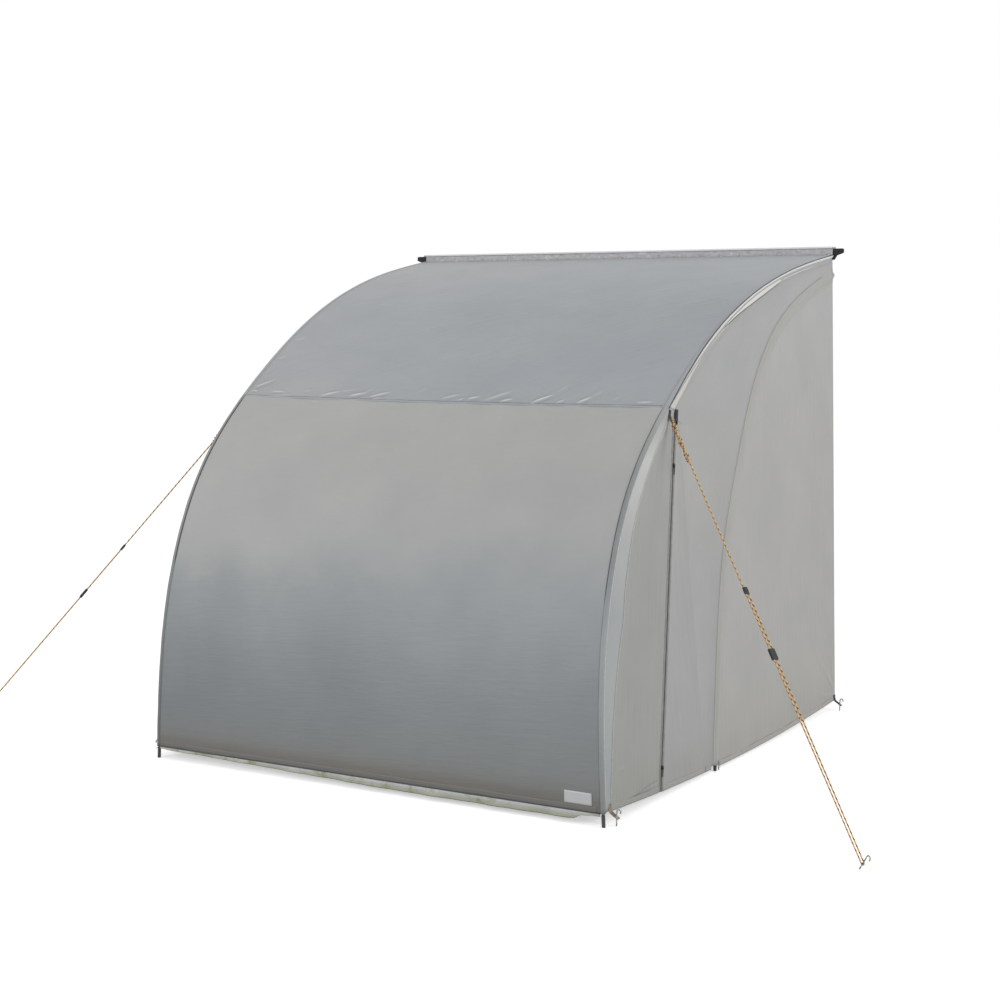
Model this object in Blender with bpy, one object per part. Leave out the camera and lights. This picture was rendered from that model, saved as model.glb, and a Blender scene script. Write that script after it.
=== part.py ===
"""Bicycle storage tent that hangs by its top edge from an awning rail.

Metres, +Z up. +X is the tent's right-hand side seen from its front, and +Y points to the vehicle.
The origin is on the ground, at the middle of the tent's footprint.
"""

import math

import bmesh
import bpy
import numpy as np
from mathutils import Matrix, Vector

# Overall sizes of the pitched tent
RAIL_WIDTH = 2.06          # fabric width at the rail
REAR_FOOT_WIDTH = 2.24     # between the rear corners on the ground
FRONT_FOOT_WIDTH = 1.81    # between the front pole feet
ROOF_DEPTH = 2.25          # from the rail to the front pole feet
ROOF_HEIGHT = 2.04         # where the front poles start, under the keder strip
KEDER_RISE = 0.035         # from there up to the middle of the keder bead
RAIL_HEIGHT = ROOF_HEIGHT + KEDER_RISE
MID_DEPTH_SHARE = 0.6
MID_DEPTH = MID_DEPTH_SHARE * ROOF_DEPTH    # from the rail to the middle pole feet
MID_TOP_DROP = 0.095
MID_HEIGHT = ROOF_HEIGHT - MID_TOP_DROP     # where the middle poles start

# Side outline of the bent poles, as shares of their depth and height
FRONT_OUTLINE = [(0.0, 1.0), (0.258, 0.941), (0.509, 0.845), (0.737, 0.698),
                 (0.917, 0.512), (0.995, 0.278), (1.0, 0.0)]
MID_OUTLINE = [(0.02, 1.0), (0.296, 0.936), (0.533, 0.848), (0.689, 0.735),
               (0.815, 0.581), (0.904, 0.442), (0.963, 0.247), (1.0, 0.0)]
SEAM_SHARE = 0.551         # place of the cross seam along the front pole
ROWS_ABOVE_SEAM = 9
ROWS_BELOW_SEAM = 9
ROWS = ROWS_ABOVE_SEAM + ROWS_BELOW_SEAM
DENSE = 600                # samples that measure a pole's length

# Cloth
FABRIC = 0.003             # thickness of a fabric skin and its hems
SEAM_GAP = 0.0003          # gap kept between neighbouring pieces
HEM_CORNER = 0.045         # hem above the ground at the front and rear corners
HEM_MIDDLE = 0.010         # hem above the ground near the middle pole
ROOF_SAG = 0.018
FRONT_SAG = 0.022
CROSS_SEAM_LAP = 0.0015    # more room where the two panels meet in the valley of the cross seam
SEAM_DIP = 0.007           # valley along the cross seam
SEAM_DIP_REACH = 0.06      # share of a panel beside the seam
PUCKER = 0.006             # height of the gathers above the cross seam
PUCKER_BELOW = 0.004       # and below it
PUCKER_REACH = 0.16
PUCKER_SKEW = 0.33
PUCKER_COUNT = 5
WALL_SAG = 0.012
FOOT_FOLD = 0.007          # small fold from the front foot to the zip
FOOT_FOLD_PLACE = 0.93     # share of the wall's height from its top
FOOT_FOLD_RISE = 0.10
FOOT_FOLD_WIDTH = 0.05
ROOF_COLUMNS = 24
WALL_COLUMNS = 4

# Pole sleeves
SLEEVE_CLOTH = 0.0015
SLEEVE_EASE = 0.0008       # room between a ferrule and its sleeve
SLEEVE_START = 0.014       # along the pole, below the keder strip
SLEEVE_ARC_STEPS = 12
SLEEVE_SLIT_DEG = 5.0
BAND_TOP = 0.030           # width of the front sleeve's flat band, from the rail to the foot
BAND_SEAM = 0.046
BAND_KNEE = 0.128
BAND_FOOT = 0.045
BAND_KNEE_SHARE = 0.80
MID_BAND = 0.030           # band on each side of the middle pole
MID_FOOT_SHOWS = 0.010     # between the hem and the middle sleeve's lower end
REAR_EDGE_INSET = 0.001    # between the rear plane and the cloth's rear edges

# Poles of glass fibre, joined by steel ferrules
ROD_D = 0.0095
FERRULE_D = 0.0127
FERRULE_LENGTH = 0.100
SOCKET_EASE = 0.0003
FOOT_D = 0.013
FOOT_LENGTH = 0.040
TIP_LENGTH = 0.020
FRONT_SECTIONS = 5
MID_SECTIONS = 4
ROD_SIDES = 8

# Keder strip and bead
BEAD_D = 0.007
KEDER_CLOTH = 0.001
BEAD_EASE = 0.0004
BEAD_OVERHANG = 0.015

# Mud flap under the front hem
MUD_FLAP_THICKNESS = 0.0015
MUD_FLAP_DROP = 0.030
MUD_FLAP_SCALLOP = 0.018
MUD_FLAP_CORNER = 0.12     # share of the half width over which the flap rises to the corner

# Zip and door
ZIP_TOP_SHARES = (0.743, 0.646)    # of the roof's depth and height, near the zip's top
ZIP_FOOT_SHARE = 0.81
DOOR_FOLD_SHARE = 0.64     # lower end of the line on which the door folds back
ZIP_AIM = (ZIP_TOP_SHARES[0] * ROOF_DEPTH, ZIP_TOP_SHARES[1] * ROOF_HEIGHT)
ZIP_FOOT_FORWARD = ZIP_FOOT_SHARE * ROOF_DEPTH
DOOR_FOLD_FORWARD = DOOR_FOLD_SHARE * ROOF_DEPTH
DOOR_TOP_WIDTH = 0.012
DOOR_EASE = 0.0006         # along the zip, between the door's top and the wall above it
TAPE_WIDTH = 0.014
TAPE_THICKNESS = 0.0012
COIL = 0.0032
ZIP_GAP = 0.0003

# Zip sliders, places from the zip's lower end
LOWER_SLIDER = 0.085
UPPER_SLIDER = 1.145
SLIDER_LENGTH = 0.015
SLIDER_WIDTH = 0.010
SLIDER_PLATE = 0.0022
SLIDER_CHAMFER = 0.0007
SLIDER_WIDTHS = [(-0.5, 0.72), (-0.25, 0.9), (0.3, 1.0), (0.5, 0.8)]   # shares along and across
BRIDGE_LENGTH = 0.0100
BRIDGE_BAR = 0.0014
BRIDGE_RISE = 0.0044
BRIDGE_CORNER = 0.0012
BRIDGE_ROOT = 0.0008       # depth of the bridge's legs in the plate
PULL_LENGTH = 0.034
PULL_WIDTH = 0.0075
PULL_THICKNESS = 0.0014
PULL_EYE_LENGTH = 0.0092
PULL_EYE_WIDTH = 0.0030
PULL_CORNER = 0.001
PULL_SHOULDER = 0.003
PULL_SIDE_SHARE = 0.8      # width where the tip's rounding starts
PULL_TIP_SHARE = 0.4
PULL_EYE_CORNERS = (0.002, 0.0004)

# Guy ropes
ROPE_D = 0.004
ROPE_SPREAD = 0.011        # between the two runs below the runner
GUY_PEG_OUTWARD = 0.720    # beyond the rail's end
RIGHT_GUY_PEG_AHEAD = 0.019    # in front of the front pole feet
LEFT_GUY_PEG_AHEAD = 0.140
GUY_PEG_X = RAIL_WIDTH / 2.0 + GUY_PEG_OUTWARD
RIGHT_GUY_PEG = (GUY_PEG_X, ROOF_DEPTH + RIGHT_GUY_PEG_AHEAD)    # beside the middle line, forward of the rail
LEFT_GUY_PEG = (-GUY_PEG_X, ROOF_DEPTH + LEFT_GUY_PEG_AHEAD)
GUY_HOOK_INWARD = 0.034    # behind the front pole, on the sleeve band
RUNNER_FROM_PEG = 0.710
STOPPER_FROM_PEG = 0.947
RUNNER_LENGTH = 0.040
RUNNER_WIDTH = 0.024
RUNNER_THICKNESS = 0.010
RUNNER_EASE = 0.0006
RUNNER_EDGE = 0.0015
ROPE_RUN_STEPS = 16
BIGHT_STEPS = 8

# Pegs of bent steel wire
PEG_D = 0.005
PEG_TOP = 0.048            # top of the shank above the ground
PEG_HOOK_RADIUS = 0.007
PEG_HOOK_TIP = 0.005
MID_EYELET_HEIGHT = 0.034
MID_EYELET_INWARD = 0.0195
GUY_PEG_LEAN_DEG = 32.0
BIGHT_HEIGHT = 0.022

# Webbing tabs with an eyelet
TAB_WIDTH = 0.022
TAB_THICKNESS = 0.0016
TAB_SEWN = 0.024
TAB_REACH = 0.026
TAB_DROP = 0.016
TAB_TIP = 0.009
EYELET_EASE = 0.0004
REAR_TAB_FORWARD = 0.013
FRONT_TAB_INWARD = 0.040
GUY_TAB_WIDTH = 0.018
GUY_TAB_SEWN = 0.020
GUY_TAB_REACH = 0.026
CUTTER_LENGTH = 0.06
ROUND_SIDES = 12
RAIL_TAB_REACH = 0.052
RAIL_TAB_DROP = 0.050
RAIL_TAB_OUTLINE = [(0.0, 0.0), (1.0, 0.08), (1.0, 0.4), (0.45, 0.6), (0.22, 1.0), (0.0, 1.0)]

UP = Vector((0.0, 0.0, 1.0))


def clear_scene():
    """Remove whatever the scene holds."""
    for old in list(bpy.data.objects):
        bpy.data.objects.remove(old, do_unlink=True)


def material(name, colour, roughness, metallic=0.0):
    """A Principled material with one colour."""
    made = bpy.data.materials.new(name)
    made.use_nodes = True
    shader = made.node_tree.nodes["Principled BSDF"]
    shader.inputs["Base Color"].default_value = (*colour, 1.0)
    shader.inputs["Roughness"].default_value = roughness
    shader.inputs["Metallic"].default_value = metallic
    made.diffuse_color = (*colour, 1.0)
    return made


def add_object(name, mesh, made_material, smooth_angle=None):
    """Put a mesh into the scene as one named object."""
    placed = bpy.data.objects.new(name, mesh)
    bpy.context.scene.collection.objects.link(placed)
    placed.data.materials.append(made_material)
    if smooth_angle is not None:
        mesh.shade_smooth()
        mesh.set_sharp_from_angle(angle=math.radians(smooth_angle))
    return placed


def finish_bmesh(shape, name):
    """Turn a bmesh into a mesh whose faces point out."""
    bmesh.ops.recalc_face_normals(shape, faces=shape.faces)
    mesh = bpy.data.meshes.new(name)
    shape.to_mesh(mesh)
    shape.free()
    return mesh


# Curves of the poles

def natural_spline(points):
    """Second derivatives of a natural cubic through points, by chord length."""
    knots = np.concatenate([[0.0], np.cumsum(np.hypot(*np.diff(points, axis=0).T))])
    steps = np.diff(knots)
    count = len(points)
    system = np.eye(count)
    right = np.zeros((count, 2))
    for row in range(1, count - 1):
        system[row, row - 1] = steps[row - 1]
        system[row, row] = 2.0 * (steps[row - 1] + steps[row])
        system[row, row + 1] = steps[row]
        slope_after = (points[row + 1] - points[row]) / steps[row]
        slope_before = (points[row] - points[row - 1]) / steps[row - 1]
        right[row] = 6.0 * (slope_after - slope_before)
    return knots, np.linalg.solve(system, right)


def sample_spline(outline, depth, height):
    """Evenly spaced points (forward, height) along a pole, with their lengths."""
    points = np.array(outline) * (depth, height)
    knots, second = natural_spline(points)
    samples = []
    for place in np.linspace(0.0, knots[-1], DENSE):
        row = min(int(np.searchsorted(knots, place, side="right")) - 1, len(knots) - 2)
        step = knots[row + 1] - knots[row]
        after = (place - knots[row]) / step
        before = 1.0 - after
        value = before * points[row] + after * points[row + 1]
        value = value + ((before ** 3 - before) * second[row]
                         + (after ** 3 - after) * second[row + 1]) * step ** 2 / 6.0
        samples.append(value)
    samples = np.array(samples)
    lengths = np.concatenate([[0.0], np.cumsum(np.hypot(*np.diff(samples, axis=0).T))])
    return samples, lengths


def at_length(samples, lengths, place):
    """Point (forward, height) at a length along a sampled pole."""
    return (float(np.interp(place, lengths, samples[:, 0])),
            float(np.interp(place, lengths, samples[:, 1])))


FRONT_SAMPLES, FRONT_LENGTHS = sample_spline(FRONT_OUTLINE, ROOF_DEPTH, ROOF_HEIGHT)
MID_SAMPLES, MID_LENGTHS = sample_spline(MID_OUTLINE, MID_DEPTH, MID_HEIGHT)

SLEEVE_BORE = FERRULE_D / 2.0 + SLEEVE_EASE
SLEEVE_RADIUS = SLEEVE_BORE + SLEEVE_CLOTH
TOTAL_DEPTH = float(FRONT_SAMPLES[:, 0].max()) + SLEEVE_RADIUS
REAR_Y = TOTAL_DEPTH / 2.0

# Half width of a side wall: its value on the ground at the rear, per metre up and per metre forward
WALL_REAR = REAR_FOOT_WIDTH / 2.0
WALL_UP = (RAIL_WIDTH / 2.0 - WALL_REAR) / ROOF_HEIGHT
WALL_FORWARD = (FRONT_FOOT_WIDTH / 2.0 - WALL_REAR) / ROOF_DEPTH


def half_width(forward, height):
    """Distance from the middle line to a side wall."""
    return WALL_REAR + WALL_UP * height + WALL_FORWARD * forward


def wall_normal(side):
    """Unit vector out of a side wall."""
    return Vector((side, WALL_FORWARD, -WALL_UP)).normalized()


def on_wall(side, place, out=0.0):
    """World point on a side wall at (forward, height), moved out by a distance."""
    forward, height = place
    point = Vector((side * half_width(forward, height), REAR_Y - forward, height))
    return point + wall_normal(side) * out


def hem_height(forward):
    """Height of the side hem, low in the middle and higher at the corners."""
    share = 2.0 * forward / ROOF_DEPTH - 1.0
    lift = min(1.0, abs(share)) ** 2
    return HEM_MIDDLE + (HEM_CORNER - HEM_MIDDLE) * lift


def length_at_height(samples, lengths, height):
    """Length along a pole where it comes down to a height."""
    return float(np.interp(-height, -samples[:, 1], lengths))


FRONT_HEM_LENGTH = length_at_height(FRONT_SAMPLES, FRONT_LENGTHS, HEM_CORNER)
MID_HEM_LENGTH = length_at_height(MID_SAMPLES, MID_LENGTHS, hem_height(MID_DEPTH) + MID_FOOT_SHOWS)
SEAM_LENGTH = SEAM_SHARE * float(FRONT_LENGTHS[-1])


def front_stations():
    """Lengths along the front pole of the cloth's rows, with one at the seam."""
    above = np.linspace(0.0, SEAM_LENGTH, ROWS_ABOVE_SEAM + 1)
    below = np.linspace(SEAM_LENGTH, FRONT_HEM_LENGTH, ROWS_BELOW_SEAM + 1)
    return [float(value) for value in above] + [float(value) for value in below[1:]]


def mid_stations():
    """Lengths along the middle pole of the cloth's rows."""
    return [float(value) for value in np.linspace(0.0, MID_HEM_LENGTH, ROWS + 1)]


class PolePath:
    """The bent line of one pole on one side wall, as straight runs between its stations."""

    def __init__(self, side, samples, lengths, stations):
        self.normal = wall_normal(side)
        flat = [at_length(samples, lengths, place) for place in stations]
        flat.append((float(samples[-1][0]), float(samples[-1][1])))
        self.points = [on_wall(side, place) for place in flat]
        runs = [(after - before).length for before, after in zip(self.points, self.points[1:])]
        self.places = [0.0]
        for run in runs:
            self.places.append(self.places[-1] + run)

    def length(self):
        """Full length of the pole."""
        return self.places[-1]

    def run_of(self, place):
        """Index of the straight run that holds a length."""
        for index in range(len(self.places) - 2):
            if place < self.places[index + 1]:
                return index
        return len(self.places) - 2

    def point(self, place):
        """World point at a length along the pole."""
        index = self.run_of(place)
        share = (place - self.places[index]) / (self.places[index + 1] - self.places[index])
        return self.points[index].lerp(self.points[index + 1], share)

    def direction(self, place):
        """Direction towards the foot, halved between runs at a station."""
        index = self.run_of(place)
        along = (self.points[index + 1] - self.points[index]).normalized()
        nearest = min(range(len(self.places)), key=lambda item: abs(self.places[item] - place))
        if abs(self.places[nearest] - place) < 1e-6 and 0 < nearest < len(self.places) - 1:
            before = (self.points[nearest] - self.points[nearest - 1]).normalized()
            after = (self.points[nearest + 1] - self.points[nearest]).normalized()
            along = (before + after).normalized()
        return along

    def inward(self, place):
        """Unit vector in the wall, square to the pole, towards the rear and the ground."""
        along = self.direction(place)
        across = along.cross(self.normal).normalized()
        return across if across.dot(Vector((0.0, 1.0, -0.2))) > 0.0 else -across

    def offset(self, place, inward, out=0.0):
        """World point beside the pole: inward in the wall and out of it."""
        return self.point(place) + self.inward(place) * inward + self.normal * out


FRONT_PATHS = {side: PolePath(side, FRONT_SAMPLES, FRONT_LENGTHS, front_stations()) for side in (-1, 1)}
MID_PATHS = {side: PolePath(side, MID_SAMPLES, MID_LENGTHS, mid_stations()) for side in (-1, 1)}
SIDE_NAMES = {-1: "left", 1: "right"}


# Shapes made along a line

def loft(sections):
    """Closed body through sections of as many points each, with flat ends."""
    shape = bmesh.new()
    rings = [[shape.verts.new(point) for point in section] for section in sections]
    count = len(rings[0])
    for before, after in zip(rings, rings[1:]):
        for index in range(count):
            following = (index + 1) % count
            shape.faces.new((before[index], before[following], after[following], after[index]))
    shape.faces.new(rings[0])
    shape.faces.new(rings[-1])
    return shape


def lathe_along(path, profile, foot=False):
    """Body turned about a bent line: profile lists (length, radius) from one end to the other."""
    stops = []
    for (start, start_radius), (end, end_radius) in zip(profile, profile[1:]):
        stops.append((start, start_radius))
        low, high = min(start, end), max(start, end)
        between = [place for place in path.places if low + 1e-5 < place < high - 1e-5]
        if end < start:
            between.reverse()
        for place in between:
            share = (place - start) / (end - start)
            stops.append((place, start_radius + (end_radius - start_radius) * share))
    stops.append(profile[-1])
    sections = []
    for place, radius in stops:
        side_way = path.inward(place)
        other_way = path.normal
        if foot and abs(place - path.length()) < 1e-6:
            along = path.direction(place)
            side_way = side_way - along * (side_way.z / along.z)
            other_way = other_way - along * (other_way.z / along.z)
        ring = []
        for step in range(ROD_SIDES):
            turn = 2.0 * math.pi * (step + 0.5) / ROD_SIDES
            ring.append(path.point(place) + (side_way * math.cos(turn) + other_way * math.sin(turn)) * radius)
        sections.append(ring)
    return loft(sections)


def sleeve_section(inner_band, outer_band, bore, ring_cloth, band_cloth):
    """Outline of a sleeve: a ring round the pole with a slit, and a flat band on one or both sides.

    The points are (inward, out) pairs, with the pole at (0, 0).
    """
    radius = bore + ring_cloth
    half = band_cloth / 2.0
    lift = math.asin(half / radius)
    slit_start = 2.0 * math.pi - lift - math.radians(SLEEVE_SLIT_DEG)
    steps = SLEEVE_ARC_STEPS

    def arc(size, start, end, count):
        turns = [start + (end - start) * step / count for step in range(count + 1)]
        return [(size * math.cos(turn), size * math.sin(turn)) for turn in turns]

    points = [(inner_band, half)]
    if outer_band > 0.0:
        points += arc(radius, lift, math.pi - lift, steps // 2)
        points += [(-outer_band, half), (-outer_band, -half)]
        points += arc(radius, math.pi + lift, slit_start, steps // 2)
    else:
        points += arc(radius, lift, slit_start, steps)
    points += arc(bore, slit_start, -lift, steps)
    points.append((radius * math.cos(lift), -half))
    points.append((inner_band, -half))
    return points


def band_width(share):
    """Width of the front sleeve's band at a share of the pole."""
    shares = [0.0, SEAM_SHARE, BAND_KNEE_SHARE, 1.0]
    widths = [BAND_TOP, BAND_SEAM, BAND_KNEE, BAND_FOOT]
    return float(np.interp(share, shares, widths))


def back_to_rear(point, along):
    """World point moved back along a pole's first run to the tent's rear edge."""
    return point - along * ((point.y - (REAR_Y - REAR_EDGE_INSET)) / along.y)


def sleeve_places(path):
    """Lengths of a sleeve's sections, from under the keder strip to the hem."""
    return [SLEEVE_START] + path.places[1:ROWS + 1]


def make_front_sleeve(side, made_material):
    """Sleeve of a front pole, with its tapering band on the side wall."""
    path = FRONT_PATHS[side]
    sections = []
    for place in sleeve_places(path):
        outline = sleeve_section(band_width(place / path.length()), 0.0, SLEEVE_BORE, SLEEVE_CLOTH, FABRIC)
        sections.append([path.offset(place, inward, out) for inward, out in outline])
    name = f"front_sleeve_{SIDE_NAMES[side]}"
    add_object(name, finish_bmesh(loft(sections), name), made_material, 40)


def make_mid_sleeve(side, made_material):
    """Sleeve of a middle pole, sewn along both edges into the side wall."""
    path = MID_PATHS[side]
    outline = sleeve_section(MID_BAND, MID_BAND, SLEEVE_BORE, SLEEVE_CLOTH, FABRIC)
    sections = []
    for place in sleeve_places(path):
        sections.append([path.offset(place, inward, out) for inward, out in outline])
    along = path.direction(SLEEVE_START)
    sections[0] = [back_to_rear(point, along) for point in sections[0]]
    name = f"mid_sleeve_{SIDE_NAMES[side]}"
    return add_object(name, finish_bmesh(loft(sections), name), made_material, 40)


def make_pole(prefix, path, count, made_material):
    """Sections of one pole, each with a ferrule that takes the next section's end."""
    rod, ferrule_face = ROD_D / 2.0, FERRULE_D / 2.0
    socket = rod + SOCKET_EASE
    reach = FERRULE_LENGTH / 2.0
    top = SLEEVE_START + SEAM_GAP
    run = (path.length() - top) / count
    for index in range(count):
        start = top + index * run
        end = start + run
        if index == 0:
            profile = [(start, ferrule_face), (start + TIP_LENGTH, ferrule_face), (start + TIP_LENGTH, rod)]
        else:
            profile = [(start + SEAM_GAP, rod)]
        if index == count - 1:
            profile += [(end - FOOT_LENGTH, rod), (end - FOOT_LENGTH, FOOT_D / 2.0), (end, FOOT_D / 2.0)]
        else:
            profile += [(end - reach, rod), (end - reach, ferrule_face), (end + reach, ferrule_face),
                        (end + reach, socket), (end, socket)]
        mesh = finish_bmesh(lathe_along(path, profile, foot=index == count - 1), "pole_section")
        part = "foot" if index == count - 1 else str(index + 1)
        add_object(f"{prefix}_section_{part}", mesh, made_material, 40)


# Cloth panels

def skin(name, rows, relief, made_material):
    """Panel of cloth through rows of points, lifted by relief(a, b) and given its thickness."""
    shape = bmesh.new()
    grid = [[shape.verts.new(point) for point in row] for row in rows]
    for before, after in zip(grid, grid[1:]):
        for index in range(len(before) - 1):
            shape.faces.new((before[index], after[index], after[index + 1], before[index + 1]))
    shape.normal_update()
    moves = []
    for line, row in enumerate(grid):
        for index, vert in enumerate(row):
            lift = relief(line / (len(grid) - 1), index / (len(row) - 1))
            moves.append((vert, vert.normal * lift))
    for vert, move in moves:
        vert.co += move
    mesh = bpy.data.meshes.new(name)
    shape.to_mesh(mesh)
    shape.free()
    placed = add_object(name, mesh, made_material, 60)
    solid = placed.modifiers.new("Cloth thickness", "SOLIDIFY")
    solid.thickness = FABRIC
    solid.offset = 0.0
    solid.use_even_offset = True
    return placed


def across(left, right, columns):
    """Row of evenly spaced points between two ends."""
    return [left.lerp(right, index / columns) for index in range(columns + 1)]


# Where the roof cloth ends beside a sleeve: above the middle of its pole, and in from the wall
ROOF_LIFT = SLEEVE_RADIUS - FABRIC / 2.0 - SLEEVE_CLOTH
ROOF_EDGE = math.sqrt((SLEEVE_RADIUS + SEAM_GAP) ** 2 - (ROOF_LIFT - FABRIC / 2.0) ** 2)


def roof_row(line):
    """Row of the roof and front cloth between the two front sleeves."""
    ends = []
    for side in (-1, 1):
        path = FRONT_PATHS[side]
        place = path.places[line]
        ends.append(path.offset(place, -ROOF_LIFT, -ROOF_EDGE))
    return across(ends[0], ends[1], ROOF_COLUMNS)


def across_sag(share):
    """Share of the relief across the cloth: none at the sleeves, all in the middle."""
    return 1.0 - (2.0 * share - 1.0) ** 2


def near_seam(distance, reach):
    """Falls from 1 at the cross seam to 0 beyond a reach, in shares of the panel."""
    return math.exp(-(distance / reach) ** 2)


def seam_dip(distance):
    """Valley of the cloth along the cross seam."""
    return -SEAM_DIP * near_seam(distance, SEAM_DIP_REACH)


def roof_relief(along, share):
    """Sag of the roof, its dip at the seam and the gathers above the seam."""
    from_seam = 1.0 - along
    sag = -ROOF_SAG * math.sin(math.pi * along)
    wave = math.sin(2.0 * math.pi * PUCKER_COUNT * (share + PUCKER_SKEW * from_seam))
    gather = PUCKER * wave * min(1.0, from_seam * ROWS_ABOVE_SEAM)
    return across_sag(share) * (sag + seam_dip(from_seam) + gather * near_seam(from_seam, PUCKER_REACH))


def front_relief(along, share):
    """Sag of the front, its dip at the seam and soft hollows below it."""
    sag = -FRONT_SAG * math.sin(math.pi * along)
    wave = math.sin(2.0 * math.pi * PUCKER_COUNT * (share - PUCKER_SKEW * along) + 1.0)
    gather = PUCKER_BELOW * wave * min(1.0, along * ROWS_BELOW_SEAM)
    return across_sag(share) * (sag + seam_dip(along) + gather * near_seam(along, PUCKER_REACH))


def make_roof_and_front(made_materials):
    """Roof panel from the rail to the cross seam, and front panel down to the hem."""
    roof = [roof_row(line) for line in range(ROWS_ABOVE_SEAM + 1)]
    front = [roof_row(line) for line in range(ROWS_ABOVE_SEAM, ROWS + 1)]
    down_front = (front[1][0] - front[0][0]).normalized()
    front[0] = [point + down_front * (SEAM_GAP + CROSS_SEAM_LAP) for point in front[0]]
    skin("roof_panel", roof, roof_relief, made_materials["roof"])
    skin("front_panel", front, front_relief, made_materials["front"])


def rear_edge(side):
    """Rear edge of a side wall, from below the middle sleeve to the hem."""
    along = MID_PATHS[side].direction(SLEEVE_START)
    top = back_to_rear(mid_edge(side, True)[0], along)
    return across(top, on_wall(side, (REAR_EDGE_INSET, hem_height(0.0))), ROWS)


def front_edge(side):
    """Edge of the wall cloth along the front sleeve's band."""
    path = FRONT_PATHS[side]
    return [path.offset(place, band_width(place / path.length()) + SEAM_GAP) for place in sleeve_places(path)]


def mid_edge(side, inner):
    """Edge of the wall cloth along the middle sleeve, on its rear or front side."""
    path = MID_PATHS[side]
    reach = MID_BAND + SEAM_GAP
    return [path.offset(place, reach if inner else -reach) for place in sleeve_places(path)]


def rear_strip_row(side):
    """Rear edge of the cloth between the two sleeves."""
    lower = back_to_rear(mid_edge(side, False)[0], MID_PATHS[side].direction(SLEEVE_START))
    upper = back_to_rear(front_edge(side)[0], FRONT_PATHS[side].direction(SLEEVE_START))
    return lower, upper


def wall_relief(amount, fold=0.0, flat_top=0.0):
    """Relief of a wall panel: a soft hollow, and a fold near its lower front corner.

    A share of the panel at its top, flat_top, stays flat.
    """
    def relief(down, share):
        along = max(0.0, down - flat_top) / (1.0 - flat_top)
        hollow = math.sin(math.pi * along) * math.sin(math.pi * share)
        from_fold = along - FOOT_FOLD_PLACE + FOOT_FOLD_RISE * share
        crease = math.exp(-(from_fold / FOOT_FOLD_WIDTH) ** 2) * math.sin(math.pi * share)
        return -amount * hollow + fold * crease
    return relief


def flat(place):
    """Place (forward, height) of a world point."""
    return Vector((REAR_Y - place.y, place.z))


def on_hem(forward):
    """Place on the side hem."""
    return Vector((forward, hem_height(forward)))


class ZipLine:
    """The straight zip in the right wall, from the wall above it to the hem."""

    def __init__(self):
        self.foot = on_hem(ZIP_FOOT_FORWARD)
        self.down = (self.foot - Vector(ZIP_AIM)).normalized()
        self.rearward = Vector((self.down.y, -self.down.x))
        edge = [flat(point) for point in front_edge(1)]
        self.split = max(line for line, place in enumerate(edge) if place.y > ZIP_AIM[1])
        corner = edge[self.split]
        self.top = self.foot - self.down * (self.foot - corner).dot(self.down)

    def place(self, share, rearward=0.0, below=0.0):
        """Place at a share of the zip, moved towards the rear and down along it."""
        spot = self.top.lerp(self.foot, share)
        return spot + self.rearward * rearward + self.down * below

    def above_foot(self, distance):
        """World point on the zip's line, a distance above its lower end."""
        return on_wall(1, self.foot - self.down * distance)

    def axes(self):
        """World directions along the zip upwards, across it to the rear, and out of the wall."""
        up = (on_wall(1, self.top) - on_wall(1, self.foot)).normalized()
        out = wall_normal(1)
        return up, out.cross(up).normalized(), out


ZIP = ZipLine()
TAPE_EDGE = ZIP_GAP / 2.0 + COIL / 2.0 + TAPE_WIDTH


def fold_place(share, rearward=0.0):
    """Place on the door's fold line, moved towards the rear by a distance."""
    top = ZIP.place(0.0, TAPE_EDGE + SEAM_GAP + DOOR_TOP_WIDTH)
    foot = on_hem(DOOR_FOLD_FORWARD)
    way = (foot - top).normalized()
    return top.lerp(foot, share) + Vector((way.y, -way.x)) * rearward


def wall_rows(side, pairs):
    """Rows of a wall panel between pairs of rear and front edge points, facing out of the wall."""
    rows = [across(rear, front, WALL_COLUMNS) for rear, front in pairs]
    return rows if side < 0 else [list(reversed(row)) for row in rows]


def make_rear_wall(side, made_material):
    """Wall panel between the rear edge and the middle sleeve."""
    pairs = list(zip(rear_edge(side), mid_edge(side, True)))
    skin(f"rear_wall_{SIDE_NAMES[side]}", wall_rows(side, pairs), wall_relief(WALL_SAG), made_material)


def make_left_front_wall(made_material):
    """Plain wall panel between the two sleeves of the left side."""
    pairs = [rear_strip_row(-1)] + list(zip(mid_edge(-1, False), front_edge(-1)))
    relief = wall_relief(WALL_SAG, FOOT_FOLD, 1.0 / len(pairs))
    skin("front_wall_left", wall_rows(-1, pairs), relief, made_material)


def make_right_front_walls(made_material):
    """Right wall in front of the middle sleeve: a panel beside the door and a strip before the zip."""
    middle = mid_edge(1, False)
    edge = front_edge(1)
    below = ROWS - ZIP.split - 1
    fold = [on_wall(1, fold_place(line / below, SEAM_GAP)) for line in range(below + 1)]
    pairs = [rear_strip_row(1)] + list(zip(middle, edge[:ZIP.split + 1] + fold))
    relief = wall_relief(WALL_SAG, flat_top=1.0 / len(pairs))
    skin("mid_wall_right", wall_rows(1, pairs), relief, made_material)

    strip = []
    for line in range(ZIP.split, ROWS + 1):
        share = (line - ZIP.split) / (ROWS - ZIP.split)
        lower = DOOR_EASE if line == ZIP.split else 0.0
        beside_zip = on_wall(1, ZIP.place(share, -(TAPE_EDGE + SEAM_GAP), lower))
        at_sleeve = edge[line]
        if lower:
            at_sleeve = at_sleeve + (edge[line + 1] - edge[line]).normalized() * lower
        strip.append((beside_zip, at_sleeve))
    skin("front_strip_right", wall_rows(1, strip), wall_relief(WALL_SAG / 2.0, FOOT_FOLD), made_material)


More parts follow.
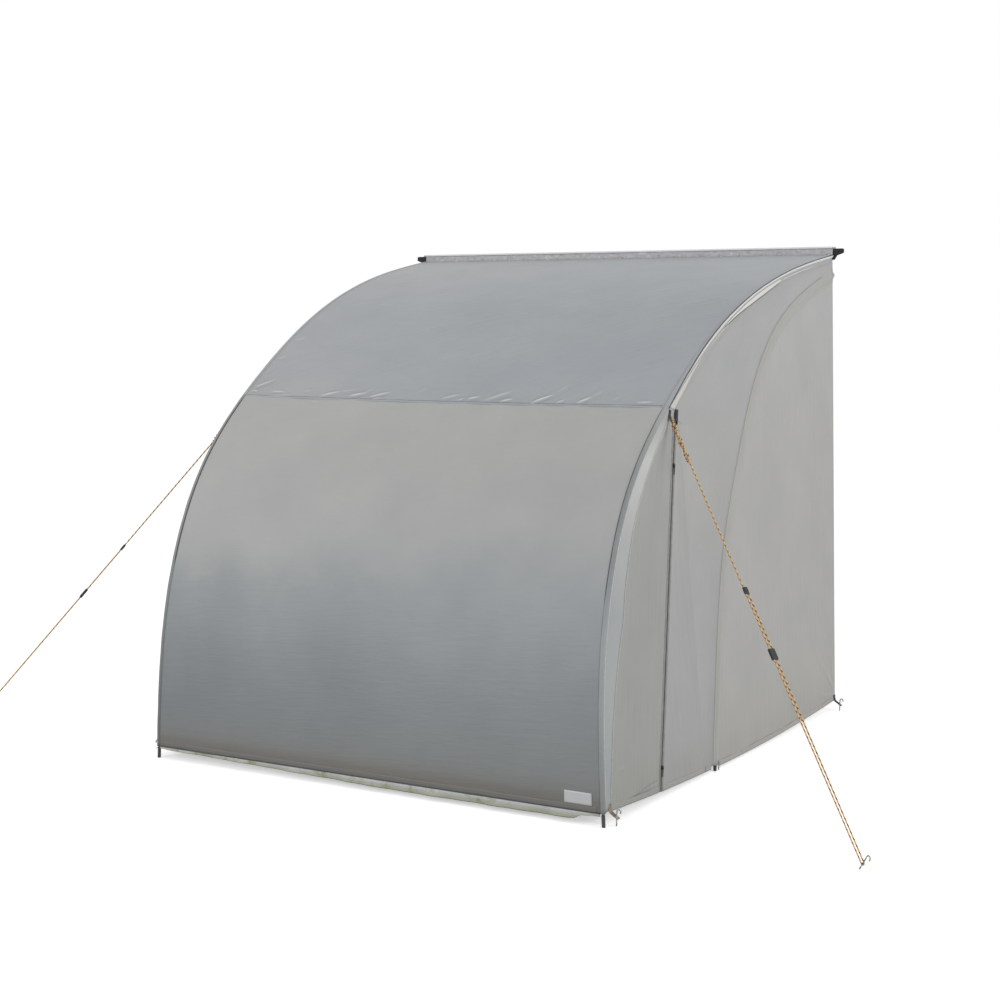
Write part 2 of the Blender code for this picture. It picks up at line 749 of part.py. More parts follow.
def make_door(made_material):
    """Door flap between its fold line and the zip."""
    rows = ROWS - ZIP.split
    pairs = []
    for line in range(rows + 1):
        share = line / rows
        lower = DOOR_EASE if line == 0 else 0.0
        fold = fold_place(share) + ZIP.down * lower
        pairs.append((on_wall(1, fold), on_wall(1, ZIP.place(share, TAPE_EDGE + SEAM_GAP, lower))))
    skin("door_flap", wall_rows(1, pairs), wall_relief(WALL_SAG / 2.0), made_material)


def make_zip_tapes(made_material):
    """The two halves of the zip: a woven tape with a coil along its edge."""
    half_gap = ZIP_GAP / 2.0
    coil_edge = half_gap + COIL / 2.0
    skin_half = TAPE_THICKNESS / 2.0
    outline = [(half_gap, -skin_half), (half_gap, COIL - skin_half), (coil_edge, COIL - skin_half),
               (coil_edge, skin_half), (TAPE_EDGE, skin_half), (TAPE_EDGE, -skin_half)]
    for name, way in (("zip_tape_front", -1.0), ("zip_tape_door", 1.0)):
        sections = []
        for share, lower in ((0.0, DOOR_EASE), (1.0, 0.0)):
            sections.append([on_wall(1, ZIP.place(share, way * across_zip, lower), out)
                             for across_zip, out in outline])
        add_object(name, finish_bmesh(loft(sections), name), made_material)


def frame_matrix(origin, x_axis, y_axis, z_axis):
    """World matrix from an origin and three axes."""
    turned = Matrix((x_axis, y_axis, z_axis)).transposed().to_4x4()
    return Matrix.Translation(origin) @ turned


def box_mesh(name, low, high):
    """Box between two corners."""
    shape = bmesh.new()
    bmesh.ops.create_cube(shape, size=1.0)
    for vert in shape.verts:
        for axis in range(3):
            vert.co[axis] = low[axis] if vert.co[axis] < 0.0 else high[axis]
    return finish_bmesh(shape, name)


def helper(name, mesh, matrix):
    """Object that only shapes another one."""
    made = bpy.data.objects.new(name, mesh)
    bpy.context.scene.collection.objects.link(made)
    made.matrix_world = matrix
    made.hide_render = True
    made.display_type = "WIRE"
    return made


def combine(target, other, operation):
    """Join another object to the target, or cut it out."""
    change = target.modifiers.new(f"{operation.title()} {other.name}", "BOOLEAN")
    change.operation = operation
    change.solver = "EXACT"
    change.object = other


def make_slider(name, above_foot, made_material):
    """Zip slider: a plate with side flanges over the coils, and a bridge for the pull."""
    up, rearward, out = ZIP.axes()
    coil_top = COIL - TAPE_THICKNESS / 2.0
    plate_low = coil_top + SEAM_GAP
    plate_high = plate_low + SLIDER_PLATE
    flange_low = TAPE_THICKNESS / 2.0 + SEAM_GAP
    sections = []
    for share, width in SLIDER_WIDTHS:
        half = SLIDER_WIDTH / 2.0 * width
        inner = half - BRIDGE_BAR
        side_top = plate_high - SLIDER_CHAMFER
        top_half = half - SLIDER_CHAMFER
        outline = [(half, side_top), (top_half, plate_high), (-top_half, plate_high), (-half, side_top),
                   (-half, flange_low), (-inner, flange_low), (-inner, plate_low),
                   (inner, plate_low), (inner, flange_low), (half, flange_low)]
        sections.append([Vector((share * SLIDER_LENGTH, beside, high)) for beside, high in outline])
    matrix = frame_matrix(ZIP.above_foot(above_foot), up, rearward, out)
    body = add_object(name, finish_bmesh(loft(sections), name), made_material, 40)
    body.matrix_world = matrix

    half_length, half_bar = BRIDGE_LENGTH / 2.0, BRIDGE_BAR / 2.0
    root = plate_high - BRIDGE_ROOT
    crown = plate_high + BRIDGE_RISE
    leg = half_length - BRIDGE_BAR
    outline = [(-half_length, root), (-half_length, crown - BRIDGE_CORNER),
               (BRIDGE_CORNER - half_length, crown), (half_length - BRIDGE_CORNER, crown),
               (half_length, crown - BRIDGE_CORNER), (half_length, root),
               (leg, root), (leg, crown - BRIDGE_BAR), (-leg, crown - BRIDGE_BAR), (-leg, root)]
    sections = [[Vector((along, beside, high)) for along, high in outline]
                for beside in (-half_bar, half_bar)]
    bridge = helper(f"{name}_bridge", finish_bmesh(loft(sections), "bridge"), matrix)
    combine(body, bridge, "UNION")
    return matrix, plate_high


def mirrored(outline):
    """Closed outline from its half on the side of positive y, for a shape alike on both sides."""
    return outline + [(along, -beside) for along, beside in reversed(outline)]


def make_pull(name, matrix, plate_high, made_material):
    """Zip pull: a tab whose eye is looped round the slider's bridge."""
    half_bar = PULL_THICKNESS / 2.0
    eye_end = -half_bar - PULL_EYE_LENGTH
    eye_half, half_pull = PULL_EYE_WIDTH / 2.0, PULL_WIDTH / 2.0
    tip = half_bar - PULL_LENGTH
    first_corner, last_corner = PULL_EYE_CORNERS
    outer = mirrored([(half_bar, half_pull - PULL_CORNER), (half_bar - PULL_CORNER, half_pull),
                      (eye_end, half_pull), (tip + PULL_SHOULDER, half_pull * PULL_SIDE_SHARE),
                      (tip, half_pull * PULL_TIP_SHARE)])
    inner = mirrored([(-half_bar, eye_half), (-half_bar - PULL_CORNER, eye_half),
                      (eye_end + first_corner, eye_half),
                      (eye_end + last_corner, eye_half * PULL_SIDE_SHARE),
                      (eye_end, eye_half * PULL_TIP_SHARE)])
    shape = bmesh.new()
    rings = []
    for outline in (outer, inner):
        for out in (half_bar, -half_bar):
            rings.append([shape.verts.new((along, beside, out)) for along, beside in outline])
    outer_top, outer_low, inner_top, inner_low = rings
    count = len(outer)
    for index in range(count):
        after = (index + 1) % count
        for first, second in ((outer_top, outer_low), (outer_low, inner_low),
                              (inner_low, inner_top), (inner_top, outer_top)):
            shape.faces.new((first[index], first[after], second[after], second[index]))
    placed = add_object(name, finish_bmesh(shape, name), made_material, 30)
    pivot_height = plate_high + (BRIDGE_RISE - BRIDGE_BAR) / 2.0
    placed.matrix_world = matrix @ Matrix.Translation((0.0, 0.0, pivot_height))


# Rail edge and mud flap

def roof_top_height(forward):
    """Height of the roof cloth's upper face just behind its rear edge."""
    path = FRONT_PATHS[1]
    start = path.offset(0.0, -ROOF_LIFT - FABRIC / 2.0)
    along = path.direction(0.0)
    return start.z - along.z / along.y * (forward - (REAR_Y - start.y))


def make_keder(made_materials):
    """Keder strip with its bead, which slides in the rail of the vehicle."""
    bore = BEAD_D / 2.0 + BEAD_EASE
    radius = bore + KEDER_CLOTH
    centre = Vector((0.0, REAR_Y - radius, RAIL_HEIGHT))
    drop = RAIL_HEIGHT - roof_top_height(radius - KEDER_CLOTH / 2.0) - SEAM_GAP
    outline = sleeve_section(drop, 0.0, bore, KEDER_CLOTH, KEDER_CLOTH)
    sections = []
    for side in (-1.0, 1.0):
        end = centre + Vector((side * RAIL_WIDTH / 2.0, 0.0, 0.0))
        sections.append([end + Vector((0.0, -out, -down)) for down, out in outline])
    add_object("keder_strip", finish_bmesh(loft(sections), "keder_strip"), made_materials["keder"], 40)

    shape = bmesh.new()
    bmesh.ops.create_cone(shape, cap_ends=True, segments=ROUND_SIDES, radius1=BEAD_D / 2.0,
                          radius2=BEAD_D / 2.0, depth=RAIL_WIDTH + 2.0 * BEAD_OVERHANG)
    bead = add_object("keder_bead", finish_bmesh(shape, "keder_bead"), made_materials["keder"], 40)
    bead.matrix_world = Matrix.Translation(centre) @ Matrix.Rotation(math.pi / 2.0, 4, "Y")


def make_rail_end_tab(side, made_material):
    """Webbing tab that holds the end of the keder strip to the rail."""
    edge = RAIL_WIDTH / 2.0 + SEAM_GAP
    below_bead = RAIL_HEIGHT - BEAD_D / 2.0 - SEAM_GAP
    sections = []
    for back in (REAR_Y - BEAD_D / 2.0, REAR_Y - BEAD_D / 2.0 - TAB_THICKNESS):
        sections.append([Vector((side * (edge + RAIL_TAB_REACH * reach), back,
                                 below_bead - RAIL_TAB_DROP * drop))
                         for reach, drop in RAIL_TAB_OUTLINE])
    name = f"rail_end_tab_{SIDE_NAMES[side]}"
    add_object(name, finish_bmesh(loft(sections), name), made_material)


def make_mud_flap(made_material):
    """Mud flap along the front hem, cut up to the hem at both corners."""
    top = [point - UP * SEAM_GAP for point in roof_row(ROWS)]
    rows = [top]
    for share in (0.5, 1.0):
        row = []
        for index, point in enumerate(top):
            beside = abs(2.0 * index / ROOF_COLUMNS - 1.0)
            scallop = MUD_FLAP_SCALLOP * max(0.0, (beside - 1.0) / MUD_FLAP_CORNER + 1.0)
            row.append(point - UP * (MUD_FLAP_DROP - scallop) * share)
        rows.append(row)
    flap = skin("front_mud_flap", rows, lambda along, share: 0.0, made_material)
    flap.modifiers["Cloth thickness"].thickness = MUD_FLAP_THICKNESS


# Tabs, pegs and guy ropes

# From the middle of the wall cloth to the middle of a tab sewn on it
TAB_STANDS_OUT = FABRIC / 2.0 + SEAM_GAP + TAB_THICKNESS / 2.0


def bent_ribbon(name, line, width_way, width, made_material):
    """Webbing strip of a width that follows a line of points in one plane."""
    upper, lower = [], []
    for index, point in enumerate(line):
        ways = []
        if index > 0:
            ways.append((point - line[index - 1]).normalized())
        if index < len(line) - 1:
            ways.append((line[index + 1] - point).normalized())
        along = sum(ways, Vector()).normalized()
        square = width_way.cross(along).normalized()
        stretch = 1.0 / along.dot(ways[0])
        upper.append(point + square * (TAB_THICKNESS / 2.0 * stretch))
        lower.append(point - square * (TAB_THICKNESS / 2.0 * stretch))
    outline = upper + list(reversed(lower))
    sections = [[point + width_way * (width * share) for point in outline] for share in (-0.5, 0.5)]
    return add_object(name, finish_bmesh(loft(sections), name), made_material)


def cylinder_cutter(name, centre, axis, radius):
    """Round cutter along an axis, longer than any piece it bores."""
    shape = bmesh.new()
    bmesh.ops.create_cone(shape, cap_ends=True, segments=ROUND_SIDES, radius1=radius, radius2=radius,
                          depth=CUTTER_LENGTH)
    matrix = Matrix.Translation(centre) @ axis.to_track_quat("Z", "Y").to_matrix().to_4x4()
    return helper(name, finish_bmesh(shape, name), matrix)


def wire_peg(name, shank_top, shank_way, hook_way, made_material):
    """Peg of bent wire, from the ground up to the hook that holds a tab or a rope."""
    dip = PEG_D / 2.0 * math.hypot(shank_way.x, shank_way.y)
    base = shank_top - shank_way * ((shank_top.z - dip) / shank_way.z)
    hook_centre = shank_top + hook_way * PEG_HOOK_RADIUS
    line = [base]
    for step in range(BIGHT_STEPS + 1):
        turn = math.pi * (1.0 - step / BIGHT_STEPS)
        line.append(hook_centre + hook_way * (PEG_HOOK_RADIUS * math.cos(turn))
                    + shank_way * (PEG_HOOK_RADIUS * math.sin(turn)))
    line.append(line[-1] - shank_way * PEG_HOOK_TIP)
    tube(name, line, PEG_D, made_material)


def tube(name, line, diameter, made_material):
    """Round tube with capped ends along a line of points."""
    curve = bpy.data.curves.new(name, "CURVE")
    curve.dimensions = "3D"
    curve.bevel_depth = diameter / 2.0
    curve.bevel_resolution = 2
    curve.use_fill_caps = True
    spline = curve.splines.new("POLY")
    spline.points.add(len(line) - 1)
    for target, point in zip(spline.points, line):
        target.co = (*point, 1.0)
    placed = bpy.data.objects.new(name, curve)
    bpy.context.scene.collection.objects.link(placed)
    placed.data.materials.append(made_material)


def make_corner_tab_and_peg(name, side, forward, made_materials):
    """Eyelet tab sewn on the wall above the hem, with the peg that goes through it."""
    width_way = wall_normal(side).cross(UP).normalized()
    level_out = UP.cross(width_way)
    hem = on_wall(side, (forward, HEM_CORNER), TAB_STANDS_OUT)
    sewn = on_wall(side, (forward, HEM_CORNER + TAB_SEWN), TAB_STANDS_OUT)
    hole = hem + level_out * TAB_REACH - UP * TAB_DROP
    tip = hole + (hole - hem).normalized() * TAB_TIP
    tab = bent_ribbon(f"{name}_tab_{SIDE_NAMES[side]}", [sewn, hem, hole, tip], width_way,
                      TAB_WIDTH, made_materials["webbing"])
    cutter = cylinder_cutter(f"{name}_eyelet_{SIDE_NAMES[side]}", hole, UP, PEG_D / 2.0 + EYELET_EASE)
    combine(tab, cutter, "DIFFERENCE")
    shank_top = Vector((hole.x, hole.y, PEG_TOP))
    wire_peg(f"{name}_peg_{SIDE_NAMES[side]}", shank_top, UP, level_out, made_materials["steel"])


def make_mid_eyelet_and_peg(side, sleeve, made_material):
    """Eyelet in the middle sleeve's band, and the peg hooked through it."""
    path = MID_PATHS[side]
    place = length_at_height(MID_SAMPLES, MID_LENGTHS, MID_EYELET_HEIGHT)
    spot = path.offset(place, MID_EYELET_INWARD)
    level_out = UP.cross(wall_normal(side).cross(UP).normalized())
    cutter = cylinder_cutter(f"mid_eyelet_{SIDE_NAMES[side]}", spot, level_out, PEG_D / 2.0 + EYELET_EASE)
    combine(sleeve, cutter, "DIFFERENCE")
    shank_top = spot - UP * PEG_HOOK_RADIUS + level_out * PEG_HOOK_RADIUS
    wire_peg(f"mid_peg_{SIDE_NAMES[side]}", shank_top, UP, -level_out, made_material)


class GuyLine:
    """Places of one guy rope: its tab on the sleeve, its two runs, its runner and its peg."""

    def __init__(self, side, peg_place):
        path = FRONT_PATHS[side]
        seam = path.places[ROWS_ABOVE_SEAM]
        self.anchor = path.offset(seam, GUY_HOOK_INWARD, TAB_STANDS_OUT)
        across_ground, forward = peg_place
        self.bight = Vector((across_ground, REAR_Y - forward, BIGHT_HEIGHT))
        first = (self.bight - self.anchor).normalized()
        self.level = first.cross(UP).normalized()
        self.start = self.anchor + first * (GUY_TAB_REACH + SEAM_GAP)
        main_end = self.bight + self.level * (ROPE_SPREAD / 2.0)
        self.down = (main_end - self.start).normalized()
        self.level = (self.level - self.down * self.level.dot(self.down)).normalized()
        self.main_end = self.bight + self.level * (ROPE_SPREAD / 2.0)
        self.return_end = self.bight - self.level * (ROPE_SPREAD / 2.0)
        self.first = first

    def rope(self):
        """Points of the rope: down to the peg, round it and back up through the runner."""
        line = [self.start.lerp(self.main_end, step / ROPE_RUN_STEPS) for step in range(ROPE_RUN_STEPS)]
        radius = ROPE_SPREAD / 2.0
        for step in range(BIGHT_STEPS + 1):
            turn = math.pi * step / BIGHT_STEPS
            line.append(self.bight + self.level * (radius * math.cos(turn))
                        + self.down * (radius * math.sin(turn)))
        top = self.return_end - self.down * STOPPER_FROM_PEG
        steps = ROPE_RUN_STEPS // 2
        line += [self.return_end.lerp(top, step / steps) for step in range(1, steps + 1)]
        return line


def make_guy(side, peg_place, made_materials):
    """Guy rope with its tab, runner and peg."""
    guy = GuyLine(side, peg_place)
    name = SIDE_NAMES[side]
    out = wall_normal(side)
    flat_way = (guy.first - out * guy.first.dot(out)).normalized()
    width_way = out.cross(flat_way).normalized()
    line = [guy.anchor - flat_way * GUY_TAB_SEWN, guy.anchor, guy.anchor + guy.first * GUY_TAB_REACH]
    tab = bent_ribbon(f"guy_tab_{name}", line, width_way, GUY_TAB_WIDTH, made_materials["webbing"])
    eye = guy.anchor + guy.first * (GUY_TAB_REACH - TAB_TIP)
    eye_way = guy.first.cross(width_way).normalized()
    cutter = cylinder_cutter(f"guy_eyelet_{name}", eye, eye_way, ROPE_D / 2.0 + RUNNER_EASE)
    combine(tab, cutter, "DIFFERENCE")

    tube(f"guy_rope_{name}", guy.rope(), ROPE_D, made_materials["rope"])

    centre = guy.bight - guy.down * RUNNER_FROM_PEG
    thick_way = guy.down.cross(guy.level).normalized()
    half = (RUNNER_LENGTH / 2.0, RUNNER_WIDTH / 2.0, RUNNER_THICKNESS / 2.0)
    mesh = box_mesh("guy_runner", [-value for value in half], half)
    runner = add_object(f"guy_runner_{name}", mesh, made_materials["runner"], 40)
    runner.matrix_world = frame_matrix(centre, guy.down, guy.level, thick_way)
    edges = runner.modifiers.new("Moulded edges", "BEVEL")
    edges.width = RUNNER_EDGE
    edges.segments = 1
    for run in (-0.5, 0.5):
        spot = centre + guy.level * (ROPE_SPREAD * run)
        bore = ROPE_D / 2.0 + RUNNER_EASE
        cutter = cylinder_cutter(f"runner_bore_{name}_{run:+.1f}", spot, guy.down, bore)
        combine(runner, cutter, "DIFFERENCE")

    lean = math.radians(GUY_PEG_LEAN_DEG)
    away = Vector((guy.down.x, guy.down.y, 0.0)).normalized()
    shank_way = away * math.sin(lean) + UP * math.cos(lean)
    hook_way = away * math.cos(lean) - UP * math.sin(lean)
    touch = ROPE_SPREAD / 2.0 - ROPE_D / 2.0 - PEG_D / 2.0 - SEAM_GAP
    through = guy.bight + guy.down * touch
    shank_top = through + shank_way * ((PEG_TOP - through.z) / shank_way.z)
    wire_peg(f"guy_peg_{name}", shank_top, shank_way, hook_way, made_materials["steel"])


def build():
    """Make every piece of the tent."""
    clear_scene()
    look = {
        "roof": material("Roof polyester", (0.34, 0.37, 0.39), 0.6),
        "front": material("Front polyester", (0.36, 0.37, 0.37), 0.6),
        "wall": material("Wall polyester", (0.38, 0.39, 0.38), 0.6),
        "sleeve": material("Sleeve band", (0.48, 0.51, 0.51), 0.55),
        "keder": material("White coated cloth", (0.62, 0.61, 0.58), 0.5),
        "mud": material("Mud flap cloth", (0.55, 0.54, 0.50), 0.5),
        "pole": material("Glass fibre", (0.05, 0.05, 0.06), 0.4),
        "zip": material("Zip tape", (0.16, 0.17, 0.17), 0.7),
        "webbing": material("Black webbing", (0.02, 0.02, 0.02), 0.8),
        "runner": material("Black nylon", (0.02, 0.02, 0.02), 0.45),
        "rope": material("Guy rope", (0.75, 0.42, 0.10), 0.8),
        "steel": material("Zinc plated steel", (0.35, 0.35, 0.36), 0.35, 1.0),
    }
    make_roof_and_front(look)
    make_left_front_wall(look["wall"])
    make_right_front_walls(look["wall"])
    make_door(look["wall"])
    make_zip_tapes(look["zip"])
    for name, above_foot in (("lower", LOWER_SLIDER), ("upper", UPPER_SLIDER)):
        matrix, plate_high = make_slider(f"zip_slider_{name}", above_foot, look["steel"])
        make_pull(f"zip_pull_{name}", matrix, plate_high, look["steel"])
    make_keder(look)
    make_mud_flap(look["mud"])
    for side in (-1, 1):
        make_rear_wall(side, look["wall"])
        make_front_sleeve(side, look["sleeve"])
        mid_sleeve = make_mid_sleeve(side, look["sleeve"])
        make_pole(f"front_pole_{SIDE_NAMES[side]}", FRONT_PATHS[side], FRONT_SECTIONS, look["pole"])
        make_pole(f"mid_pole_{SIDE_NAMES[side]}", MID_PATHS[side], MID_SECTIONS, look["pole"])
        make_rail_end_tab(side, look["webbing"])
        make_corner_tab_and_peg("rear", side, REAR_TAB_FORWARD, look)
        make_corner_tab_and_peg("front", side, ROOF_DEPTH - FRONT_TAB_INWARD, look)
        make_mid_eyelet_and_peg(side, mid_sleeve, look["steel"])
    make_guy(1, RIGHT_GUY_PEG, look)
    make_guy(-1, LEFT_GUY_PEG, look)


build()
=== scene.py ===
"""Looks of a bicycle storage tent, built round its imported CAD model.

Metres, +Z up. +X is the tent's right-hand side seen from its front, and +Y points to the vehicle.
Each part of the tent is a class that holds its sizes, builds its meshes and dresses them.
"""

import logging
import math
from dataclasses import dataclass
from enum import Enum
from functools import partial
from typing import Callable, Optional, Sequence

import bpy
import numpy as np
from mathutils import Matrix, Vector


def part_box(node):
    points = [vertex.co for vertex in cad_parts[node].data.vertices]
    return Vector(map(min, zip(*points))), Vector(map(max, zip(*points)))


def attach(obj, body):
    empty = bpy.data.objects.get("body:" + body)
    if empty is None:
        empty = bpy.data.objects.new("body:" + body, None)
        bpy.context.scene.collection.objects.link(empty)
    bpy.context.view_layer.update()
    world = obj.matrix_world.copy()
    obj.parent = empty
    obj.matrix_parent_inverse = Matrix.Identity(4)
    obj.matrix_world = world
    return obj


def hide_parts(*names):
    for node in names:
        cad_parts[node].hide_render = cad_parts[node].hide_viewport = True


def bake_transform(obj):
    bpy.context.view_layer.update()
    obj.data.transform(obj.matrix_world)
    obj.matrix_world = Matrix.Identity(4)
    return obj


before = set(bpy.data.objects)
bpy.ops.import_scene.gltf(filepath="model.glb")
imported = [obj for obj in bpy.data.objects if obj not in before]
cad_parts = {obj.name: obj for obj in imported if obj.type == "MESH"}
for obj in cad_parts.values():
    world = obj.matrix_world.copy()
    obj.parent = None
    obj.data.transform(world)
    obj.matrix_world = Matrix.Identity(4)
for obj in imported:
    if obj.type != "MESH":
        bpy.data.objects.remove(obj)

Array = np.ndarray
Lengths = float | Array
Node = bpy.types.Node
Pair = tuple[float, float]
Piece = bpy.types.Object
Relief = Callable[[Array, Array], Array]
Socket = bpy.types.NodeSocket
Tones = tuple[tuple[float, str], ...]
Tree = bpy.types.NodeTree
Triple = tuple[float, float, float]
# The function that adds a node, for one node tree
Adder = Callable[..., Socket]
# Height of a surface, with its bump's strength and depth in metres
Bump = tuple[Socket, float, float]

LOG = logging.getLogger("bicycle_tent")
UP = np.array([0.0, 0.0, 1.0])
# A full turn, in radians
TURN = 2.0 * math.pi


class Side(Enum):
    """The two sides of the tent, with the sign of their X."""

    LEFT = -1
    RIGHT = 1

    @property
    def label(self) -> str:
        """Name used in piece names."""
        return self.name.lower()


BOTH_SIDES = (Side.LEFT, Side.RIGHT)


class Way(Enum):
    """Which face of a grid of cloth looks out of the tent."""

    AS_WOUND = 1
    TURNED = -1


def turned_on(side: Side, turned: Side) -> Way:
    """Way of a grid that is turned on one side of the tent and not on the other."""
    return Way.TURNED if side is turned else Way.AS_WOUND


# Numbers and vectors

def unit(vector: Array) -> Array:
    """Vector, or each row of an array of vectors, brought to length 1."""
    return vector / np.maximum(np.linalg.norm(vector, axis=-1, keepdims=True), 1e-12)


def even(count: int) -> Array:
    """Evenly spaced shares from 0 to 1."""
    return np.linspace(0.0, 1.0, count)


def smooth_step(value: Array) -> Array:
    """Rises smoothly from 0 to 1 while the value goes from 0 to 1."""
    held = np.clip(value, 0.0, 1.0)
    return held * held * (3.0 - 2.0 * held)


def bump_at(value: Array, centre: float, reach: float) -> Array:
    """Bell of height 1 about a centre."""
    return np.exp(-((value - centre) / reach) ** 2)


def looked_up(places: Array, stops: Array, vectors: Array) -> Array:
    """Vectors at places between the stops of a table."""
    return np.stack([np.interp(places, stops, vectors[:, axis]) for axis in range(3)], axis=1)


def lengths_along(points: Array) -> Array:
    """Length along a line of points, from its first point to each one."""
    return np.concatenate([[0.0], np.cumsum(np.linalg.norm(np.diff(points, axis=0), axis=1))])


def full_length(points: Array) -> float:
    """Length of a line of points."""
    return float(lengths_along(points)[-1])


def resample(points: Array, count: int) -> Array:
    """Line of points spaced evenly along another."""
    along = lengths_along(points)
    return looked_up(np.linspace(0.0, along[-1], count), along, points)


def spanned(first: Array, last: Array, shares: Array) -> Array:
    """Grid of points from one line to another, at shares of the way."""
    shares = shares[None, :, None]
    return first[:, None, :] * (1.0 - shares) + last[:, None, :] * shares


def rounded(corners: Array, radius: float, count: int) -> Array:
    """Line through corners whose bends are rounded.

    Args:
        corners: Corner points.
        radius: Distance from a corner at which its bend starts.
        count: Points of the line.

    Returns:
        Evenly spaced points.
    """
    parts = [corners[:1]]
    shares = even(9)[:, None]
    for before, corner, after in zip(corners, corners[1:], corners[2:]):
        reach = min(radius, 0.45 * np.linalg.norm(corner - before), 0.45 * np.linalg.norm(after - corner))
        start = corner + unit(before - corner) * reach
        end = corner + unit(after - corner) * reach
        parts.append((1 - shares) ** 2 * start + 2 * shares * (1 - shares) * corner + shares ** 2 * end)
    parts.append(corners[-1:])
    return resample(np.concatenate(parts), count)


def ripples(across: Array, down: Array, seed: int, lengths: Sequence[Pair], amount: float) -> Array:
    """Irregular small waves on a piece of cloth.

    Args:
        across: Places across the cloth, in metres.
        down: Places down the cloth, in metres.
        seed: Seed of the phases, so that the cloth is the same at each run.
        lengths: Wave lengths across and down the cloth, in metres.
        amount: Height of the waves, in metres.

    Returns:
        Height of the cloth at each place.
    """
    chance = np.random.default_rng(seed)
    height = np.zeros_like(across)
    for wide, tall in lengths:
        phase = chance.uniform(0.0, TURN, 2)
        drift = chance.uniform(0.8, 1.25)
        height = height + np.sin(TURN * drift * across / wide + phase[0]) * np.sin(TURN * down / tall + phase[1])
    return height * (amount / len(lengths))


# Name of the mesh attribute that holds the height of the creases, from which the cloth's colour paints highlight
# and shade
CREASE_MARKS = "crease_height"


@dataclass(frozen=True)
class Crease:
    """A sharp fold of taut cloth, as a ridge along a short line.

    Its places are in metres across and down the piece of cloth.
    """

    start: Pair
    end: Pair
    height: float
    width: float

    def lift(self, across: Array, down: Array) -> Array:
        """Height that the crease adds at each place.

        Args:
            across: Places across the piece, in metres.
            down: Places down the piece, in metres.

        Returns:
            The added height.
        """
        first = np.array(self.start)
        way = np.array(self.end) - first
        share = np.clip(((across - first[0]) * way[0] + (down - first[1]) * way[1]) / way.dot(way), 0.0, 1.0)
        away = np.hypot(across - first[0] - share * way[0], down - first[1] - share * way[1])
        taper = np.sin(math.pi * np.clip(share * 0.92 + 0.04, 0.0, 1.0)) ** 0.7
        ridge = np.exp(-np.abs(away / self.width) ** 1.6)
        trough = np.exp(-((away - 2.0 * self.width) / (1.3 * self.width)) ** 2)
        return self.height * taper * (ridge - 0.28 * trough)


def creases(*rows: tuple[int, ...]) -> tuple[Crease, ...]:
    """Creases from their ends in millimetres, and their height and width in tenths of a millimetre."""
    return tuple(Crease((x / 1000, y / 1000), (x_end / 1000, y_end / 1000), height / 10000, width / 10000)
                 for x, y, x_end, y_end, height, width in rows)


def creased(folds: Sequence[Crease], across: Array, down: Array) -> Array:
    """Height of all creases of a panel at each place."""
    return sum((fold.lift(across, down) for fold in folds), np.zeros_like(down + across))


# Materials

def srgb(code: str) -> tuple[float, ...]:
    """Linear colour of an sRGB hex value, such as "#A0A4A6"."""
    shares = [int(code[start:start + 2], 16) / 255.0 for start in (1, 3, 5)]
    return (*(share / 12.92 if share <= 0.04045 else ((share + 0.055) / 1.055) ** 2.4 for share in shares), 1.0)


def tones(text: str) -> Tones:
    """Places and sRGB hex values from a text that gives them in turn."""
    parts = text.split()
    return tuple((float(place), f"#{code}") for place, code in zip(parts[::2], parts[1::2]))


def add_node(tree: Tree, kind: str, inputs: Optional[dict] = None, out: int | str = 0, stops: Tones = (),
             **settings: object) -> Socket:
    """Adds a node with its settings and links.

    Args:
        tree: The node tree.
        kind: Blender's name for the node's type, without its first word.
        inputs: Values of its input sockets, or the sockets that feed them, by name or number. An sRGB hex
            value stands for its colour, and "Object" or "UV" for those texture coordinates.
        out: Name or number of the output that is wanted.
        stops: Places and colours of its colour ramp.
        settings: Properties of the node.

    Returns:
        The output socket.
    """
    made = tree.nodes.new(f"ShaderNode{kind}")
    for key, value in settings.items():
        setattr(made, key, value)
    for key, value in (inputs or {}).items():
        if isinstance(value, str):
            value = srgb(value) if value.startswith("#") else add_node(tree, "TexCoord", out=value)
        if isinstance(value, Socket):
            tree.links.new(value, made.inputs[key])
        else:
            made.inputs[key].default_value = value
    if stops:
        elements = made.color_ramp.elements
        while len(elements) < len(stops):
            elements.new(0.5)
        while len(elements) > len(stops):
            elements.remove(elements[-1])
        for element, (place, tone) in zip(elements, stops):
            element.position, element.color = place, srgb(tone)
    return made.outputs[out]


def wave_scale(pitch: float) -> float:
    """Scale of a wave texture whose bands repeat at a pitch in metres."""
    return TURN / (20.0 * pitch)


def crossed_threads(add: Adder, pitch: float, distortion: float, meeting: str) -> Socket:
    """Relief of two sets of threads that cross at a pitch in metres.

    Args:
        add: Adds a node to the tree.
        pitch: Distance from thread to thread.
        distortion: How far the threads waver.
        meeting: Operation that joins the two sets.

    Returns:
        Height of the relief.
    """
    wave = {"Vector": "UV", "Scale": wave_scale(pitch), "Distortion": distortion}
    return add("Math", {number: add("TexWave", wave, "Fac", bands_direction=way)
                        for number, way in enumerate("XY")}, operation=meeting)


def set_values(shader: Node, **values: object) -> None:
    """Sets uniform values on the shader's own sockets, named with underscores."""
    for name, value in values.items():
        shader.inputs[name.replace("_", " ")].default_value = value


